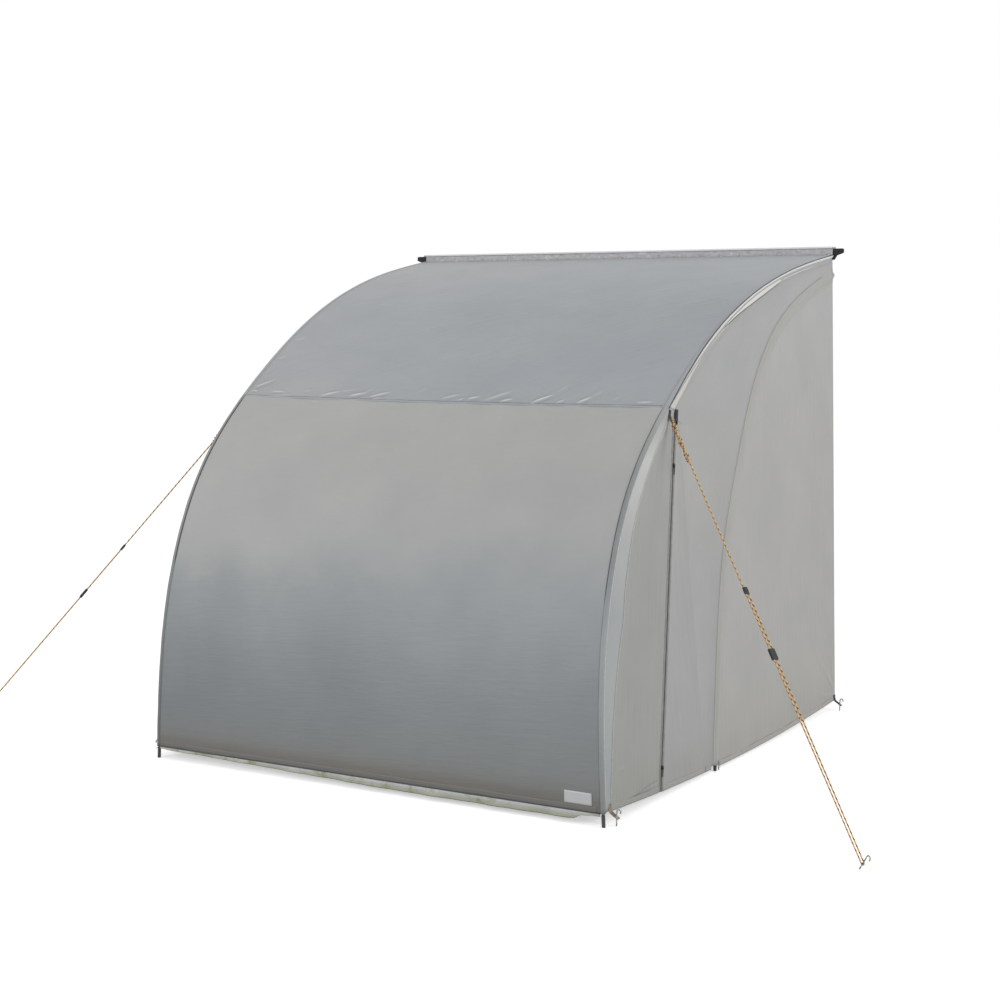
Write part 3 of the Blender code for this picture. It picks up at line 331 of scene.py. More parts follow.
@dataclass(frozen=True)
class Finish:
    """Base of every finish: two tones in clouds over the piece, under a relief of its own."""

    name: str
    dark: str = "#808080"
    pale: str = "#C0C0C0"
    roughness: float = 0.6
    metallic: float = 0.0
    # Scale, detail and roughness of the clouds, and the levels at which the dark and the pale tone are full
    clouds: Triple = (120.0, 3.0, 0.5)
    levels: Pair = (0.3, 0.7)

    def colour(self, add: Adder) -> Socket:
        """Base colour: the two tones, mixed by the clouds.

        Args:
            add: Adds a node to the tree.

        Returns:
            Socket of the colour.
        """
        cloud = add("TexNoise", {"Vector": "Object", "Scale": self.clouds[0], "Detail": self.clouds[1],
                                 "Roughness": self.clouds[2]})
        return add("ValToRGB", {"Fac": cloud}, stops=tuple(zip(self.levels, (self.dark, self.pale))))

    def relief(self, add: Adder) -> Optional[Bump]:
        """Relief of the surface, or None where it is smooth."""
        return None

    def fill(self, tree: Tree, shader: Node) -> None:
        """Sets up the shader of a new material.

        Args:
            tree: The material's node tree.
            shader: Its shader.
        """
        add = partial(add_node, tree)
        set_values(shader, Roughness=self.roughness, Metallic=self.metallic)
        tree.links.new(self.colour(add), shader.inputs["Base Color"])
        relief = self.relief(add)
        if relief is not None:
            height, strength, depth = relief
            bump = add("Bump", {"Strength": strength, "Distance": depth, "Height": height})
            tree.links.new(bump, shader.inputs["Normal"])

    def material(self) -> bpy.types.Material:
        """The Blender material, made once.

        Returns:
            The material.
        """
        made = bpy.data.materials.get(self.name)
        if made is None:
            made = bpy.data.materials.new(self.name)
            made.use_nodes = True
            self.fill(made.node_tree, made.node_tree.nodes["Principled BSDF"])
        return made


@dataclass(frozen=True)
class CoatedPolyester(Finish):
    """Plain-woven polyester with a polyurethane coat, dyed silver grey.

    The coat gives the eye a dull, slightly satin face with faint clouds of a lighter and a darker grey,
    and the stretched cloth shows fine flutes along its pull. Its colours by height and side paint light and shade,
    darker towards the hem; soil smears the foot where dirt is set.
    """

    roughness: float = 0.55
    # Colours by height above the ground, on the tent's left and right; one list serves both where they agree. They
    # are painted light and shade: darker low down, and lighter on the better lit side
    tones: Tones = ((0.0, "#A4A6A6"),)
    tones_right: Tones = ()
    blend: Pair = (-0.75, 0.75)
    # How far the edge between two tones wanders up and down, above the hem
    wander: float = 0.08
    # Threads lie 0.35 mm apart, too fine to show, so the weave is drawn 2.2 mm wide and 0.08 mm deep
    thread_pitch: float = 0.0022
    thread_depth: float = 0.00008
    # The flutes of the stretched cloth are 15 to 30 mm apart, and run along this turn from the warp
    flute_pitch: float = 0.018
    flute_length: float = 0.45
    flute_turn: float = 0.0
    flute_depth: float = 0.0010
    dirt: float = 0.0
    tallest: float = 2.1

    def grey(self, add: Adder) -> Socket:
        """Grey by height, with painted light and shade, whose tones meet along wandering lines.

        Args:
            add: Adds a node to the tree.

        Returns:
            Socket of the colour.
        """
        rise = add("SeparateXYZ", {0: "Object"}, "Z")
        drift = add("TexNoise", {"Vector": "UV", "Scale": 3.4, "Detail": 3.0})
        centred = add("Math", {0: drift, 1: 0.5}, operation="SUBTRACT")
        reach = add("MapRange", {"Value": rise, "From Min": 0.14, "From Max": 0.5,
                                 "To Max": 4.0 * self.wander})
        moved = add("Math", {0: centred, 1: reach, 2: rise}, operation="MULTIPLY_ADD")
        share = add("Math", {0: moved, 1: self.tallest}, operation="DIVIDE")
        sides = [add("ValToRGB", {"Fac": share},
                     stops=tuple((height / self.tallest, tone) for height, tone in table))
                 for table in (self.tones, self.tones_right) if table]
        if len(sides) == 1:
            return sides[0]
        across = add("MapRange", {"Value": add("SeparateXYZ", {0: "Object"}, "X"),
                                  "From Min": self.blend[0], "From Max": self.blend[1]})
        return add("Mix", {0: across, 6: sides[0], 7: sides[1]}, 2, data_type="RGBA")

    def colour(self, add: Adder) -> Socket:
        """Grey by height with its painted shade, soft clouds of the coat, soil at the foot, and painted highlight
        and shade at the creases.

        Args:
            add: Adds a node to the tree.

        Returns:
            Socket of the colour.
        """
        cloud = add("TexNoise", {"Vector": "UV", "Scale": 3.1, "Detail": 6.0, "Roughness": 0.6})
        shade = add("ValToRGB", {"Fac": cloud}, stops=tones("0.3 F3F4F5 0.72 FFFFFF"))
        base = add("Mix", {0: 1.0, 6: self.grey(add), 7: shade}, 2, data_type="RGBA", blend_type="MULTIPLY")
        layers = []
        if self.dirt > 0.0:
            rise = add("SeparateXYZ", {0: "Object"}, "Z")
            low = add("MapRange", {"Value": rise, "From Min": 0.20, "From Max": 0.04,
                                   "To Max": self.dirt}, interpolation_type="SMOOTHSTEP")
            smears = add("TexNoise", {"Vector": "UV", "Scale": 9.0, "Detail": 6.0, "Roughness": 0.7})
            layers.append((add("Math", {0: low, 1: smears}, operation="MULTIPLY"), "#7A7266"))
        # Painted highlight along each crease's ridge, and painted shade in the hollow beside it
        marks = add("Attribute", out="Fac", attribute_name=CREASE_MARKS)
        for start, end, most, tone in ((0.0012, 0.0046, 0.85, "#D6D5D1"), (-0.0003, -0.0016, 0.5, "#808283")):
            layers.append((add("MapRange", {"Value": marks, "From Min": start, "From Max": end,
                                            "To Max": most}), tone))
        for share, tone in layers:
            base = add("Mix", {0: share, 6: base, 7: tone}, 2, data_type="RGBA")
        return base

    def relief(self, add: Adder) -> Bump:
        """Plain weave, with flutes along the cloth's pull.

        Args:
            add: Adds a node to the tree.

        Returns:
            Height of the surface, with the bump's strength and depth.
        """
        turn = math.radians(self.flute_turn)
        stretched = add("Mapping", {"Vector": "UV", "Scale": (self.flute_pitch, self.flute_length, 1.0),
                                    "Rotation": (0.0, 0.0, turn)}, vector_type="TEXTURE")
        flutes = add("TexNoise", {"Vector": stretched, "Scale": 1.0, "Detail": 3.0, "Roughness": 0.6})
        whole = self.flute_depth + self.thread_depth
        weave = crossed_threads(add, self.thread_pitch, 0.4, "MULTIPLY")
        return add("Mix", {0: self.flute_depth / whole, 2: weave, 3: flutes}), 1.0, whole

    def fill(self, tree: Tree, shader: Node) -> None:
        """Adds the soft sheen of the threads' nap."""
        super().fill(tree, shader)
        set_values(shader, Sheen_Weight=0.06, Sheen_Roughness=0.5, IOR=1.46)


@dataclass(frozen=True)
class Webbing(Finish):
    """Woven polypropylene webbing, dyed in the mass.

    Coarse ribs across the strap scatter the light, so it looks matt with fine bright ridges. Wear greys it.
    """

    dark: str = "#0F0F10"
    pale: str = "#29292B"
    roughness: float = 0.78
    clouds: Triple = (60.0, 4.0, 0.5)
    levels: Pair = (0.42, 0.75)
    # Ribs of the webbing are 1.6 mm apart
    rib_pitch: float = 0.0016

    def relief(self, add: Adder) -> Bump:
        """Ribs across the strap."""
        return add("TexWave", {"Vector": "UV", "Distortion": 0.6, "Scale": wave_scale(self.rib_pitch)}, "Fac",
                   bands_direction="Y"), 0.8, 0.0003


@dataclass(frozen=True)
class TracerCord(Finish):
    """Braided polypropylene guy cord in yellow-orange with dark tracer threads.

    The braid is matt, and its tracers show as dark flecks that wind round the cord.
    """

    dark: str = "#D8A052"
    pale: str = "#E8C890"
    tracer: str = "#2A241C"
    roughness: float = 0.7
    # One turn of a tracer thread takes 22 mm of cord, and the yarns of the braid lie 1.5 mm apart
    turn: float = 0.022
    yarn_pitch: float = 0.0015

    def colour(self, add: Adder) -> Socket:
        """Orange yarns with flecks of the tracer.

        Args:
            add: Adds a node to the tree.

        Returns:
            Socket of the colour.
        """
        yarns = add("TexNoise", {"Vector": "UV", "Scale": 240.0, "Detail": 3.0})
        base = add("ValToRGB", {"Fac": yarns}, stops=((0.35, self.dark), (0.7, self.pale)))
        round_it, along = (add("SeparateXYZ", {0: "UV"}, axis) for axis in "XY")
        wound = add("Math", {0: along, 1: 1.0 / self.turn, 2: round_it}, operation="MULTIPLY_ADD")
        turned = add("Math", {0: wound}, operation="FRACT")
        strand = add("Math", {0: turned, 1: 0.3}, operation="LESS_THAN")
        return add("Mix", {0: strand, 6: base, 7: self.tracer}, 2, data_type="RGBA")

    def relief(self, add: Adder) -> Bump:
        """Yarns of the braid."""
        return add("TexWave", {"Vector": "UV", "Distortion": 0.3, "Scale": wave_scale(self.yarn_pitch)}, "Fac",
                   bands_direction="DIAGONAL"), 0.6, 0.0003


@dataclass(frozen=True)
class GrainedFinish(Finish):
    """Finish whose relief is a fine, even grain."""

    # Grains in a metre, with the strength of their bump and their detail
    grains: float = 1000.0
    grain_strength: float = 0.2
    grain_detail: float = 2.0

    def relief(self, add: Adder) -> Bump:
        """Grain of the surface."""
        grain = add("TexNoise", {"Vector": "Object", "Scale": self.grains, "Detail": self.grain_detail})
        return grain, self.grain_strength, 0.0001


@dataclass(frozen=True)
class MouldedNylon(GrainedFinish):
    """Injection-moulded nylon with carbon black: even, with a trace of chalking and a spark-eroded grain.

    The grain is 0.4 mm across.
    """

    dark: str = "#0B0B0C"
    pale: str = "#1A1A1B"
    roughness: float = 0.5
    clouds: Triple = (90.0, 3.0, 0.5)
    levels: Pair = (0.4, 0.8)
    grains: float = 2500.0
    grain_strength: float = 0.3
    grain_detail: float = 1.0


@dataclass(frozen=True)
class GlassFibre(GrainedFinish):
    """Pultruded glass-fibre rod: dark resin over paler rovings, which lie 1.4 mm apart."""

    dark: str = "#232426"
    pale: str = "#3D4043"
    roughness: float = 0.35
    clouds: Triple = (160.0, 4.0, 0.5)
    levels: Pair = (0.4, 0.7)
    grains: float = 700.0


@dataclass(frozen=True)
class ZincPlatedSteel(Finish):
    """Drawn steel wire with a bright zinc plating that has dulled outdoors.

    The plating clouds over in patches of white rust and soil, so the metal glints only in places.
    """

    dark: str = "#5E5C58"
    pale: str = "#A3A5A6"
    roughness: float = 0.42
    metallic: float = 1.0
    clouds: Triple = (45.0, 6.0, 0.65)
    levels: Pair = (0.38, 0.62)

    def relief(self, add: Adder) -> Bump:
        """Crystals of the plating, 0.8 mm across."""
        return add("TexVoronoi", {"Vector": "Object", "Scale": 1250.0}, "Distance"), 0.25, 0.0001


@dataclass(frozen=True)
class BlackedZinc(ZincPlatedSteel):
    """Die-cast zinc alloy with a black enamel that has worn at the edges."""

    dark: str = "#1B1B1C"
    pale: str = "#3B3B3C"
    roughness: float = 0.35
    metallic: float = 0.6


@dataclass(frozen=True)
class SoiledVinyl(Finish):
    """Calendered PVC film on a scrim, white-grey, which ground water has stained.

    It is smoother and brighter than the cloth, with brown and green marks near the ground.
    """

    dark: str = "#B4B5B5"
    pale: str = "#C9CACA"
    stain: str = "#8D8A6E"
    amount: float = 0.6
    scale: float = 14.0
    # Levels at which the stains start and are full, and their roughness
    patches: Triple = (0.46, 0.72, 0.7)
    roughness: float = 0.45

    def stained(self, add: Adder, base: Socket) -> Socket:
        """Colour with patches of stain over it.

        Args:
            add: Adds a node to the tree.
            base: Colour under the stains.

        Returns:
            Socket of the colour.
        """
        start, full, rough = self.patches
        patch = add("TexNoise", {"Vector": "Object", "Scale": self.scale, "Detail": 8.0, "Roughness": rough})
        share = add("MapRange", {"Value": patch, "From Min": start, "From Max": full,
                                 "To Max": self.amount}, interpolation_type="SMOOTHSTEP")
        return add("Mix", {0: share, 6: base, 7: self.stain}, 2, data_type="RGBA")

    def colour(self, add: Adder) -> Socket:
        """White-grey film with patches of stain."""
        return self.stained(add, super().colour(add))

    def relief(self, add: Adder) -> Bump:
        """Scrim under the film, its threads 2 mm apart."""
        return crossed_threads(add, 0.002, 0.0, "MAXIMUM"), 0.25, 0.0002


@dataclass(frozen=True)
class KederCloth(SoiledVinyl):
    """Pale vinyl wrapped round the keder bead, over a crumpled grey skirt with specks of old soil."""

    skirt: str = "#A4A4A6"
    edge: float = 2.0725
    edge_blur: float = 0.0008

    def colour(self, add: Adder) -> Socket:
        """Pale above the edge, grey and specked below it.

        Args:
            add: Adds a node to the tree.

        Returns:
            Socket of the colour.
        """
        stretched = add("Mapping", {"Vector": "Object", "Scale": (40.0, 110.0, 110.0)})
        specks = add("TexNoise", {"Vector": stretched, "Scale": 1.0, "Detail": 4.0, "Roughness": 0.6})
        lower = add("ValToRGB", {"Fac": specks},
                    stops=((0.30, self.stain), (0.42, self.skirt), *tones("0.60 ACACAF 0.72 CFCFD4")))
        share = add("MapRange", {"Value": add("SeparateXYZ", {0: "Object"}, "Z"),
                                 "From Min": self.edge - self.edge_blur, "From Max": self.edge + self.edge_blur})
        return add("Mix", {0: share, 6: lower, 7: self.pale}, 2, data_type="RGBA")


@dataclass(frozen=True)
class FlapVinyl(SoiledVinyl):
    """Mud flap film: bluish white at its seam, grey-green and stained where it meets wet grass."""

    drop: float = 0.030
    patches: Triple = (0.50, 0.66, 0.75)

    def colour(self, add: Adder) -> Socket:
        """Colour by the place down the flap, with patches of stain.

        Args:
            add: Adds a node to the tree.

        Returns:
            Socket of the colour.
        """
        down = add("SeparateXYZ", {0: "UV"}, "Y")
        share = add("Math", {0: down, 1: self.drop}, operation="DIVIDE")
        return self.stained(add, add("ValToRGB", {"Fac": share}, stops=tones(
            "0.0 B9BDC2 0.16 D0D3D8 0.34 BBBDBC 0.55 ABAEA2 0.85 A2A492 1.0 7F806F")))


@dataclass(frozen=True)
class Thread(Finish):
    """Bonded polyester sewing thread, a little lighter than the cloth and slightly soiled."""

    dark: str = "#9E9E9A"
    pale: str = "#C4C5C2"
    clouds: Triple = (30.0, 2.0, 0.5)


def seen_directly(add: Adder) -> Socket:
    """Socket that is 1 for rays that come from the camera, straight or by gloss or glass.

    Args:
        add: Adds a node to the tree.

    Returns:
        The socket.
    """
    camera, gloss, glass = (add("LightPath", out=f"Is {ray} Ray")
                            for ray in ("Camera", "Glossy", "Transmission"))
    first = add("Math", {0: camera, 1: gloss}, operation="MAXIMUM")
    return add("Math", {0: first, 1: glass}, operation="MAXIMUM")


@dataclass(frozen=True)
class StudioPaper(Finish):
    """Matt white paper of the floor and backdrop."""

    roughness: float = 0.95
    pale: str = "#FFFFFF"
    dark: str = "#A8A8A8"
    # Lifts the far floor, which the lamps don't reach, to white
    glow: float = 0.42

    def fill(self, tree: Tree, shader: Node) -> None:
        """Paper that the camera sees as white, and that gives back a plain level of light.

        Args:
            tree: The material's node tree.
            shader: Its shader.
        """
        add = partial(add_node, tree)
        set_values(shader, Roughness=self.roughness, Specular_IOR_Level=0.0, Emission_Color=srgb(self.pale))
        seen = seen_directly(add)
        colour = add("Mix", {0: seen, 6: self.dark, 7: self.pale}, 2, data_type="RGBA")
        tree.links.new(colour, shader.inputs["Base Color"])
        glow = add("Math", {0: seen, 1: self.glow}, operation="MULTIPLY")
        tree.links.new(glow, shader.inputs["Emission Strength"])


# Meshes

def linked(name: str, data: bpy.types.ID) -> Piece:
    """New object in the scene.

    Args:
        name: Name of the object.
        data: Its mesh, camera or light.

    Returns:
        The object.
    """
    made = bpy.data.objects.new(name, data)
    bpy.context.scene.collection.objects.link(made)
    return made


def show(mesh: bpy.types.Mesh, finish: Finish, body: str = "tent") -> Piece:
    """Puts a mesh into the scene with its finish, and lets it ride on a body.

    Args:
        mesh: The mesh, in the row frame, with the name of the piece.
        finish: Its finish.
        body: CAD body that carries it.

    Returns:
        The new object.
    """
    made = linked(mesh.name, mesh)
    mesh.materials.append(finish.material())
    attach(made, body)
    LOG.info("%s: %d faces", made.name, len(mesh.polygons))
    return made


def grid_mesh(name: str, grid: Array, way: Way = Way.AS_WOUND, closed: bool = False, caps: bool = False,
              places: Optional[Array] = None) -> bpy.types.Mesh:
    """Mesh of a grid of points.

    Args:
        name: Name of the mesh.
        grid: Points by row and column.
        way: Which face looks out.
        closed: True if the last column joins the first.
        caps: True if the first and last rows are closed with a face.
        places: Flat places of the points in metres, or None for lengths along the grid.

    Returns:
        The mesh, smooth shaded, with its places as UV.
    """
    rows, columns = grid.shape[:2]
    if places is None:
        down = np.concatenate([[0.0], np.cumsum(np.linalg.norm(np.diff(grid, axis=0), axis=2).mean(axis=1))])
        steps = np.linalg.norm(np.diff(grid, axis=1), axis=2)
        side = np.concatenate([np.zeros((rows, 1)), np.cumsum(steps, axis=1)], axis=1)
        places = np.stack([side, np.repeat(down[:, None], columns, axis=1)], axis=2)
    index = np.arange(rows * columns).reshape(rows, columns)
    after = np.roll(index, -1, axis=1) if closed else index[:, 1:]
    before = index if closed else index[:, :-1]
    quads = np.stack([before[:-1], after[:-1], after[1:], before[1:]], axis=-1).reshape(-1, 4)
    faces = quads[:, ::way.value].tolist()
    if caps:
        faces += [index[0, ::-way.value].tolist(), index[-1, ::way.value].tolist()]
    mesh = bpy.data.meshes.new(name)
    mesh.from_pydata(grid.reshape(-1, 3).tolist(), [], faces)
    layer = mesh.uv_layers.new(name="UVMap")
    corners = np.zeros(len(mesh.loops), np.int32)
    mesh.loops.foreach_get("vertex_index", corners)
    layer.data.foreach_set("uv", places.reshape(-1, 2)[corners].astype(np.float32).ravel())
    mesh.shade_smooth()
    mesh.update()
    return mesh


def grid_normals(grid: Array, way: Way = Way.AS_WOUND) -> Array:
    """Unit normals of a grid of points, on the side that looks out."""
    return unit(np.cross(np.gradient(grid, axis=1), np.gradient(grid, axis=0))) * way.value


def thicken(piece: Piece, thickness: float, offset: float = 0.0) -> None:
    """Gives a piece of cloth its thickness."""
    made = piece.modifiers.new("Cloth thickness", "SOLIDIFY")
    made.thickness, made.offset = thickness, offset


@dataclass
class Cloth:
    """A piece of cloth, and how it hangs."""

    name: str
    grid: Array
    finish: Finish
    slot: Optional[str]
    thickness: float
    # Width and length of the cut, and its area where the cut isn't a rectangle
    flat: Pair
    rests_on: Sequence[str]
    area: Optional[float] = None
    held: str = "stretched"
    # CAD node that it stands for
    node: Optional[str] = None
    body: str = "tent"
    way: Way = Way.AS_WOUND
    closed: bool = False
    # Where its thickness goes: 0 to both sides, -1 inward
    offset: float = 0.0
    # Flat places of its points, and the height of its creases there
    places: Optional[Array] = None
    marks: Optional[Array] = None

    def mesh(self) -> bpy.types.Mesh:
        """Its mesh, with the creases' heights for its material.

        Returns:
            The mesh.
        """
        mesh = grid_mesh(self.name, self.grid, self.way, self.closed, places=self.places)
        if self.marks is not None:
            layer = mesh.attributes.new(CREASE_MARKS, "FLOAT", "POINT")
            layer.data.foreach_set("value", self.marks.astype(np.float32).ravel())
        return mesh

    def show(self) -> Piece:
        """Puts it into the scene."""
        return self.hang(show(self.mesh(), self.finish, self.body))

    def hang(self, piece: Piece) -> Piece:
        """Gives the piece its thickness, and hides the CAD node that it stands for.

        Args:
            piece: The piece, which is in the scene.

        Returns:
            The same piece.
        """
        thicken(piece, self.thickness, self.offset)
        if self.node is not None:
            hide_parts(self.node)
        return piece


def round_frame(axis: Array) -> tuple[Array, Array]:
    """Two directions square to an axis and to each other."""
    first = unit(np.cross(axis, UP if abs(axis[2]) < 0.9 else np.array([1.0, 0.0, 0.0])))
    return first, np.cross(axis, first)


def show_tube(name: str, line: Array, radius: float, sides: int, finish: Finish,
              wall: Optional[Relief] = None, caps: bool = True, body: str = "tent") -> Piece:
    """Round cord along a line, without twist.

    Args:
        name: Name of the piece.
        line: Points of the centreline.
        radius: Radius of the cord.
        sides: Points round it.
        finish: Its finish.
        wall: Gives a factor of the radius from the turn and the length, or None.
        caps: True if its ends are closed.
        body: CAD body that carries it.

    Returns:
        The piece. Its UV is the share of a turn and the length in metres.
    """
    along = unit(np.gradient(line, axis=0))
    side_ways = [round_frame(along[0])[0]]
    for way in along[1:]:
        side_ways.append(unit(side_ways[-1] - way * side_ways[-1].dot(way)))
    side_way = np.array(side_ways)
    other_way = np.cross(along, side_way)
    turn, place = np.meshgrid(np.linspace(0.0, TURN, sides, endpoint=False), lengths_along(line))
    reach = radius * (1.0 if wall is None else wall(turn, place))
    grid = (line[:, None, :] + side_way[:, None, :] * (np.cos(turn) * reach)[..., None]
            + other_way[:, None, :] * (np.sin(turn) * reach)[..., None])
    mesh = grid_mesh(name, grid, closed=True, caps=caps, places=np.stack([turn / TURN, place], axis=2))
    return show(mesh, finish, body)


def ribbon_grid(line: Array, width_way: Array, width: Lengths, columns: int = 5, out: Optional[Array] = None,
                crown: float = 0.0) -> Array:
    """Grid of a flat strip whose middle follows a line.

    Args:
        line: Points of the middle line.
        width_way: Direction across the strip, at each point or one for all.
        width: Width of the strip, at each point or one for all.
        columns: Points across.
        out: Direction out of the strip, for its crown.
        crown: Height of the middle above the edges.

    Returns:
        Points by place along the line and across it.
    """
    shares = np.linspace(-0.5, 0.5, columns)[None, :, None]
    ways = np.broadcast_to(width_way, line.shape)
    widths = np.broadcast_to(np.asarray(width, float), (len(line),))
    grid = line[:, None, :] + ways[:, None, :] * (shares * widths[:, None, None])
    if out is not None:
        grid = grid + np.broadcast_to(out, line.shape)[:, None, :] * (crown * (1.0 - (2.0 * shares) ** 2))
    return grid


def show_stitches(name: str, line: Array, out: Array, finish: Finish, body: str = "tent",
                  pitch: float = 0.007) -> None:
    """Row of sewing stitches that stand a little proud of the cloth.

    Real thread is 0.5 mm thick with stitches of 3.5 mm; both are drawn twice as large, so that they show.

    Args:
        name: Name of the piece.
        line: Points along the seam, on the cloth's face.
        out: Direction out of the cloth, at each point or one for all.
        finish: Its finish.
        body: CAD body that carries it.
        pitch: Distance from stitch to stitch.
    """
    share, thick = 0.62, 0.0011
    along = lengths_along(line)
    starts = np.arange(pitch / 2.0, along[-1] - pitch, pitch)
    first, last = (looked_up(starts + pitch * part, along, line) for part in (0.0, share))
    lift = unit(looked_up(starts, along, np.broadcast_to(out, line.shape)))
    beside = np.cross(unit(last - first), lift) * (thick / 2.0)
    rings = []
    for centre, scale in ((first, 0.35), ((first + last) / 2.0, 1.0), (last, 0.35)):
        rings += [centre - beside * scale - lift * 0.0002, centre + lift * (thick * 0.55) * scale,
                  centre + beside * scale - lift * 0.0002]
    points = np.stack(rings, axis=1).reshape(-1, 3)
    faces = [(corner, corner + 1, corner + 4, corner + 3)
             for base in range(0, len(points), 9) for corner in (base, base + 1, base + 3, base + 4)]
    mesh = bpy.data.meshes.new(name)
    mesh.from_pydata(points.tolist(), [], faces)
    mesh.shade_smooth()
    show(mesh, finish, body=body)


def show_eyelet(name: str, centre: Array, axis: Array, bore: float, rim: float, wire: float) -> None:
    """Pressed metal eyelet: a rolled ring round a hole.

    Args:
        name: Name of the piece.
        centre: Middle of the hole.
        axis: Direction of the hole.
        bore: Radius of the hole.
        rim: Width of the ring.
        wire: Height of the roll.
    """
    axis = unit(axis)
    first, second = round_frame(axis)
    turn, roll = np.meshgrid(*(np.linspace(0.0, TURN, count, endpoint=False) for count in (28, 10)),
                             indexing="ij")
    reach = (bore + rim / 2.0 + rim / 2.0 * np.cos(roll))[..., None]
    grid = (centre + first * np.cos(turn)[..., None] * reach + second * np.sin(turn)[..., None] * reach
            + axis * (wire * np.sin(roll))[..., None])
    show(grid_mesh(name, np.concatenate([grid, grid[:1]]), closed=True), EYELET_NICKEL)


def dress(node: str, finish: Finish) -> None:
    """Gives a CAD node that stays in view its finish.

    Args:
        node: Name of the CAD node.
        finish: The finish.
    """
    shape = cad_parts[node]
    shape.data.materials.clear()
    shape.data.materials.append(finish.material())


# The tent's shape

@dataclass(frozen=True)
class TentSizes:
    """Sizes of the pitched tent, as in its CAD source."""

    rail_width: float = 2.06
    rear_foot_width: float = 2.24
    front_foot_width: float = 1.81
    roof_depth: float = 2.25
    roof_height: float = 2.04
    keder_rise: float = 0.035
    mid_depth_share: float = 0.6
    mid_top_drop: float = 0.095
    seam_share: float = 0.551
    # Rows of the CAD cloth above and below the cross seam
    rows_above: int = 9
    rows_below: int = 9
    hem_corner: float = 0.045
    hem_middle: float = 0.010
    sleeve_start: float = 0.014
    sleeve_radius: float = 0.00865
    mid_band: float = 0.030
    seam_gap: float = 0.0003
    rear_inset: float = 0.001
    # Places of the zip's foot, its upper end and the fold's foot, as shares of the depth and the height
    zip_foot_share: float = 0.81
    zip_top_share: Pair = (0.743, 0.646)
    fold_foot_share: float = 0.64

    @property
    def rail_height(self) -> float:
        """Middle of the keder bead above the ground."""
        return self.roof_height + self.keder_rise

    @property
    def mid_depth(self) -> float:
        """From the rail to the middle pole feet."""
        return self.mid_depth_share * self.roof_depth

    @property
    def mid_height(self) -> float:
        """Height at which the middle poles start."""
        return self.roof_height - self.mid_top_drop

    @property
    def zip_foot(self) -> float:
        """From the rail to the zip's foot."""
        return self.zip_foot_share * self.roof_depth

    @property
    def fold_foot(self) -> float:
        """From the rail to the foot of the door's fold line."""
        return self.fold_foot_share * self.roof_depth

    @property
    def rows(self) -> int:
        """Rows of the CAD cloth."""
        return self.rows_above + self.rows_below

    @property
    def wall_rear(self) -> float:
        """Half width on the ground at the rear."""
        return self.rear_foot_width / 2.0

    @property
    def wall_up(self) -> float:
        """Change of the half width per metre up."""
        return (self.rail_width / 2.0 - self.wall_rear) / self.roof_height

    @property
    def wall_forward(self) -> float:
        """Change of the half width per metre forward."""
        return (self.front_foot_width / 2.0 - self.wall_rear) / self.roof_depth


SIZES = TentSizes()
FRONT_OUTLINE = ((0.0, 1.0), (0.258, 0.941), (0.509, 0.845), (0.737, 0.698),
                 (0.917, 0.512), (0.995, 0.278), (1.0, 0.0))
MID_OUTLINE = ((0.02, 1.0), (0.296, 0.936), (0.533, 0.848), (0.689, 0.735),
               (0.815, 0.581), (0.904, 0.442), (0.963, 0.247), (1.0, 0.0))


def spline_samples(outline: Sequence[Pair], depth: float, height: float) -> Array:
    """Points (forward, height) of a natural cubic through an outline.

    Args:
        outline: Shares of the depth and the height.
        depth: Depth of the pole.
        height: Height of the pole.

    Returns:
        600 points, evenly spaced in the spline's own parameter.
    """
    points = np.array(outline) * (depth, height)
    knots = lengths_along(points)
    steps = np.diff(knots)
    count = len(points)
    system, right = np.eye(count), np.zeros((count, 2))
    for row in range(1, count - 1):
        system[row, row - 1:row + 2] = steps[row - 1], 2.0 * (steps[row - 1] + steps[row]), steps[row]
        right[row] = 6.0 * ((points[row + 1] - points[row]) / steps[row]
                            - (points[row] - points[row - 1]) / steps[row - 1])
    second = np.linalg.solve(system, right)
    samples = []
    for place in np.linspace(0.0, knots[-1], 600):
        row = min(int(np.searchsorted(knots, place, side="right")) - 1, count - 2)
        after = (place - knots[row]) / steps[row]
        before = 1.0 - after
        bend = (before ** 3 - before) * second[row] + (after ** 3 - after) * second[row + 1]
        samples.append(before * points[row] + after * points[row + 1] + bend * steps[row] ** 2 / 6.0)
    return np.array(samples)


FRONT_FLAT = spline_samples(FRONT_OUTLINE, SIZES.roof_depth, SIZES.roof_height)
MID_FLAT = spline_samples(MID_OUTLINE, SIZES.mid_depth, SIZES.mid_height)
# The tent's rear plane, with the tent's depth centred on the origin
REAR_Y = (float(FRONT_FLAT[:, 0].max()) + SIZES.sleeve_radius) / 2.0


def wall_normal(side: Side) -> Array:
    """Unit vector out of a side wall."""
    return unit(np.array([side.value, SIZES.wall_forward, -SIZES.wall_up]))


def on_wall(side: Side, flat: Array, out: float = 0.0) -> Array:
    """World points on a side wall at (forward, height), moved out by a distance.

    Args:
        side: Side of the tent.
        flat: Places as (forward, height).
        out: Distance out of the wall.

    Returns:
        World points.
    """
    flat = np.asarray(flat, float)
    half = SIZES.wall_rear + SIZES.wall_up * flat[..., 1] + SIZES.wall_forward * flat[..., 0]
    points = np.stack([side.value * half, REAR_Y - flat[..., 0], flat[..., 1]], axis=-1)
    return points + wall_normal(side) * out


def hem_height(forward: Lengths) -> Array:
    """Height of the side hem, low in the middle and higher at the corners."""
    share = np.abs(2.0 * np.asarray(forward) / SIZES.roof_depth - 1.0)
    return SIZES.hem_middle + (SIZES.hem_corner - SIZES.hem_middle) * np.minimum(1.0, share) ** 2


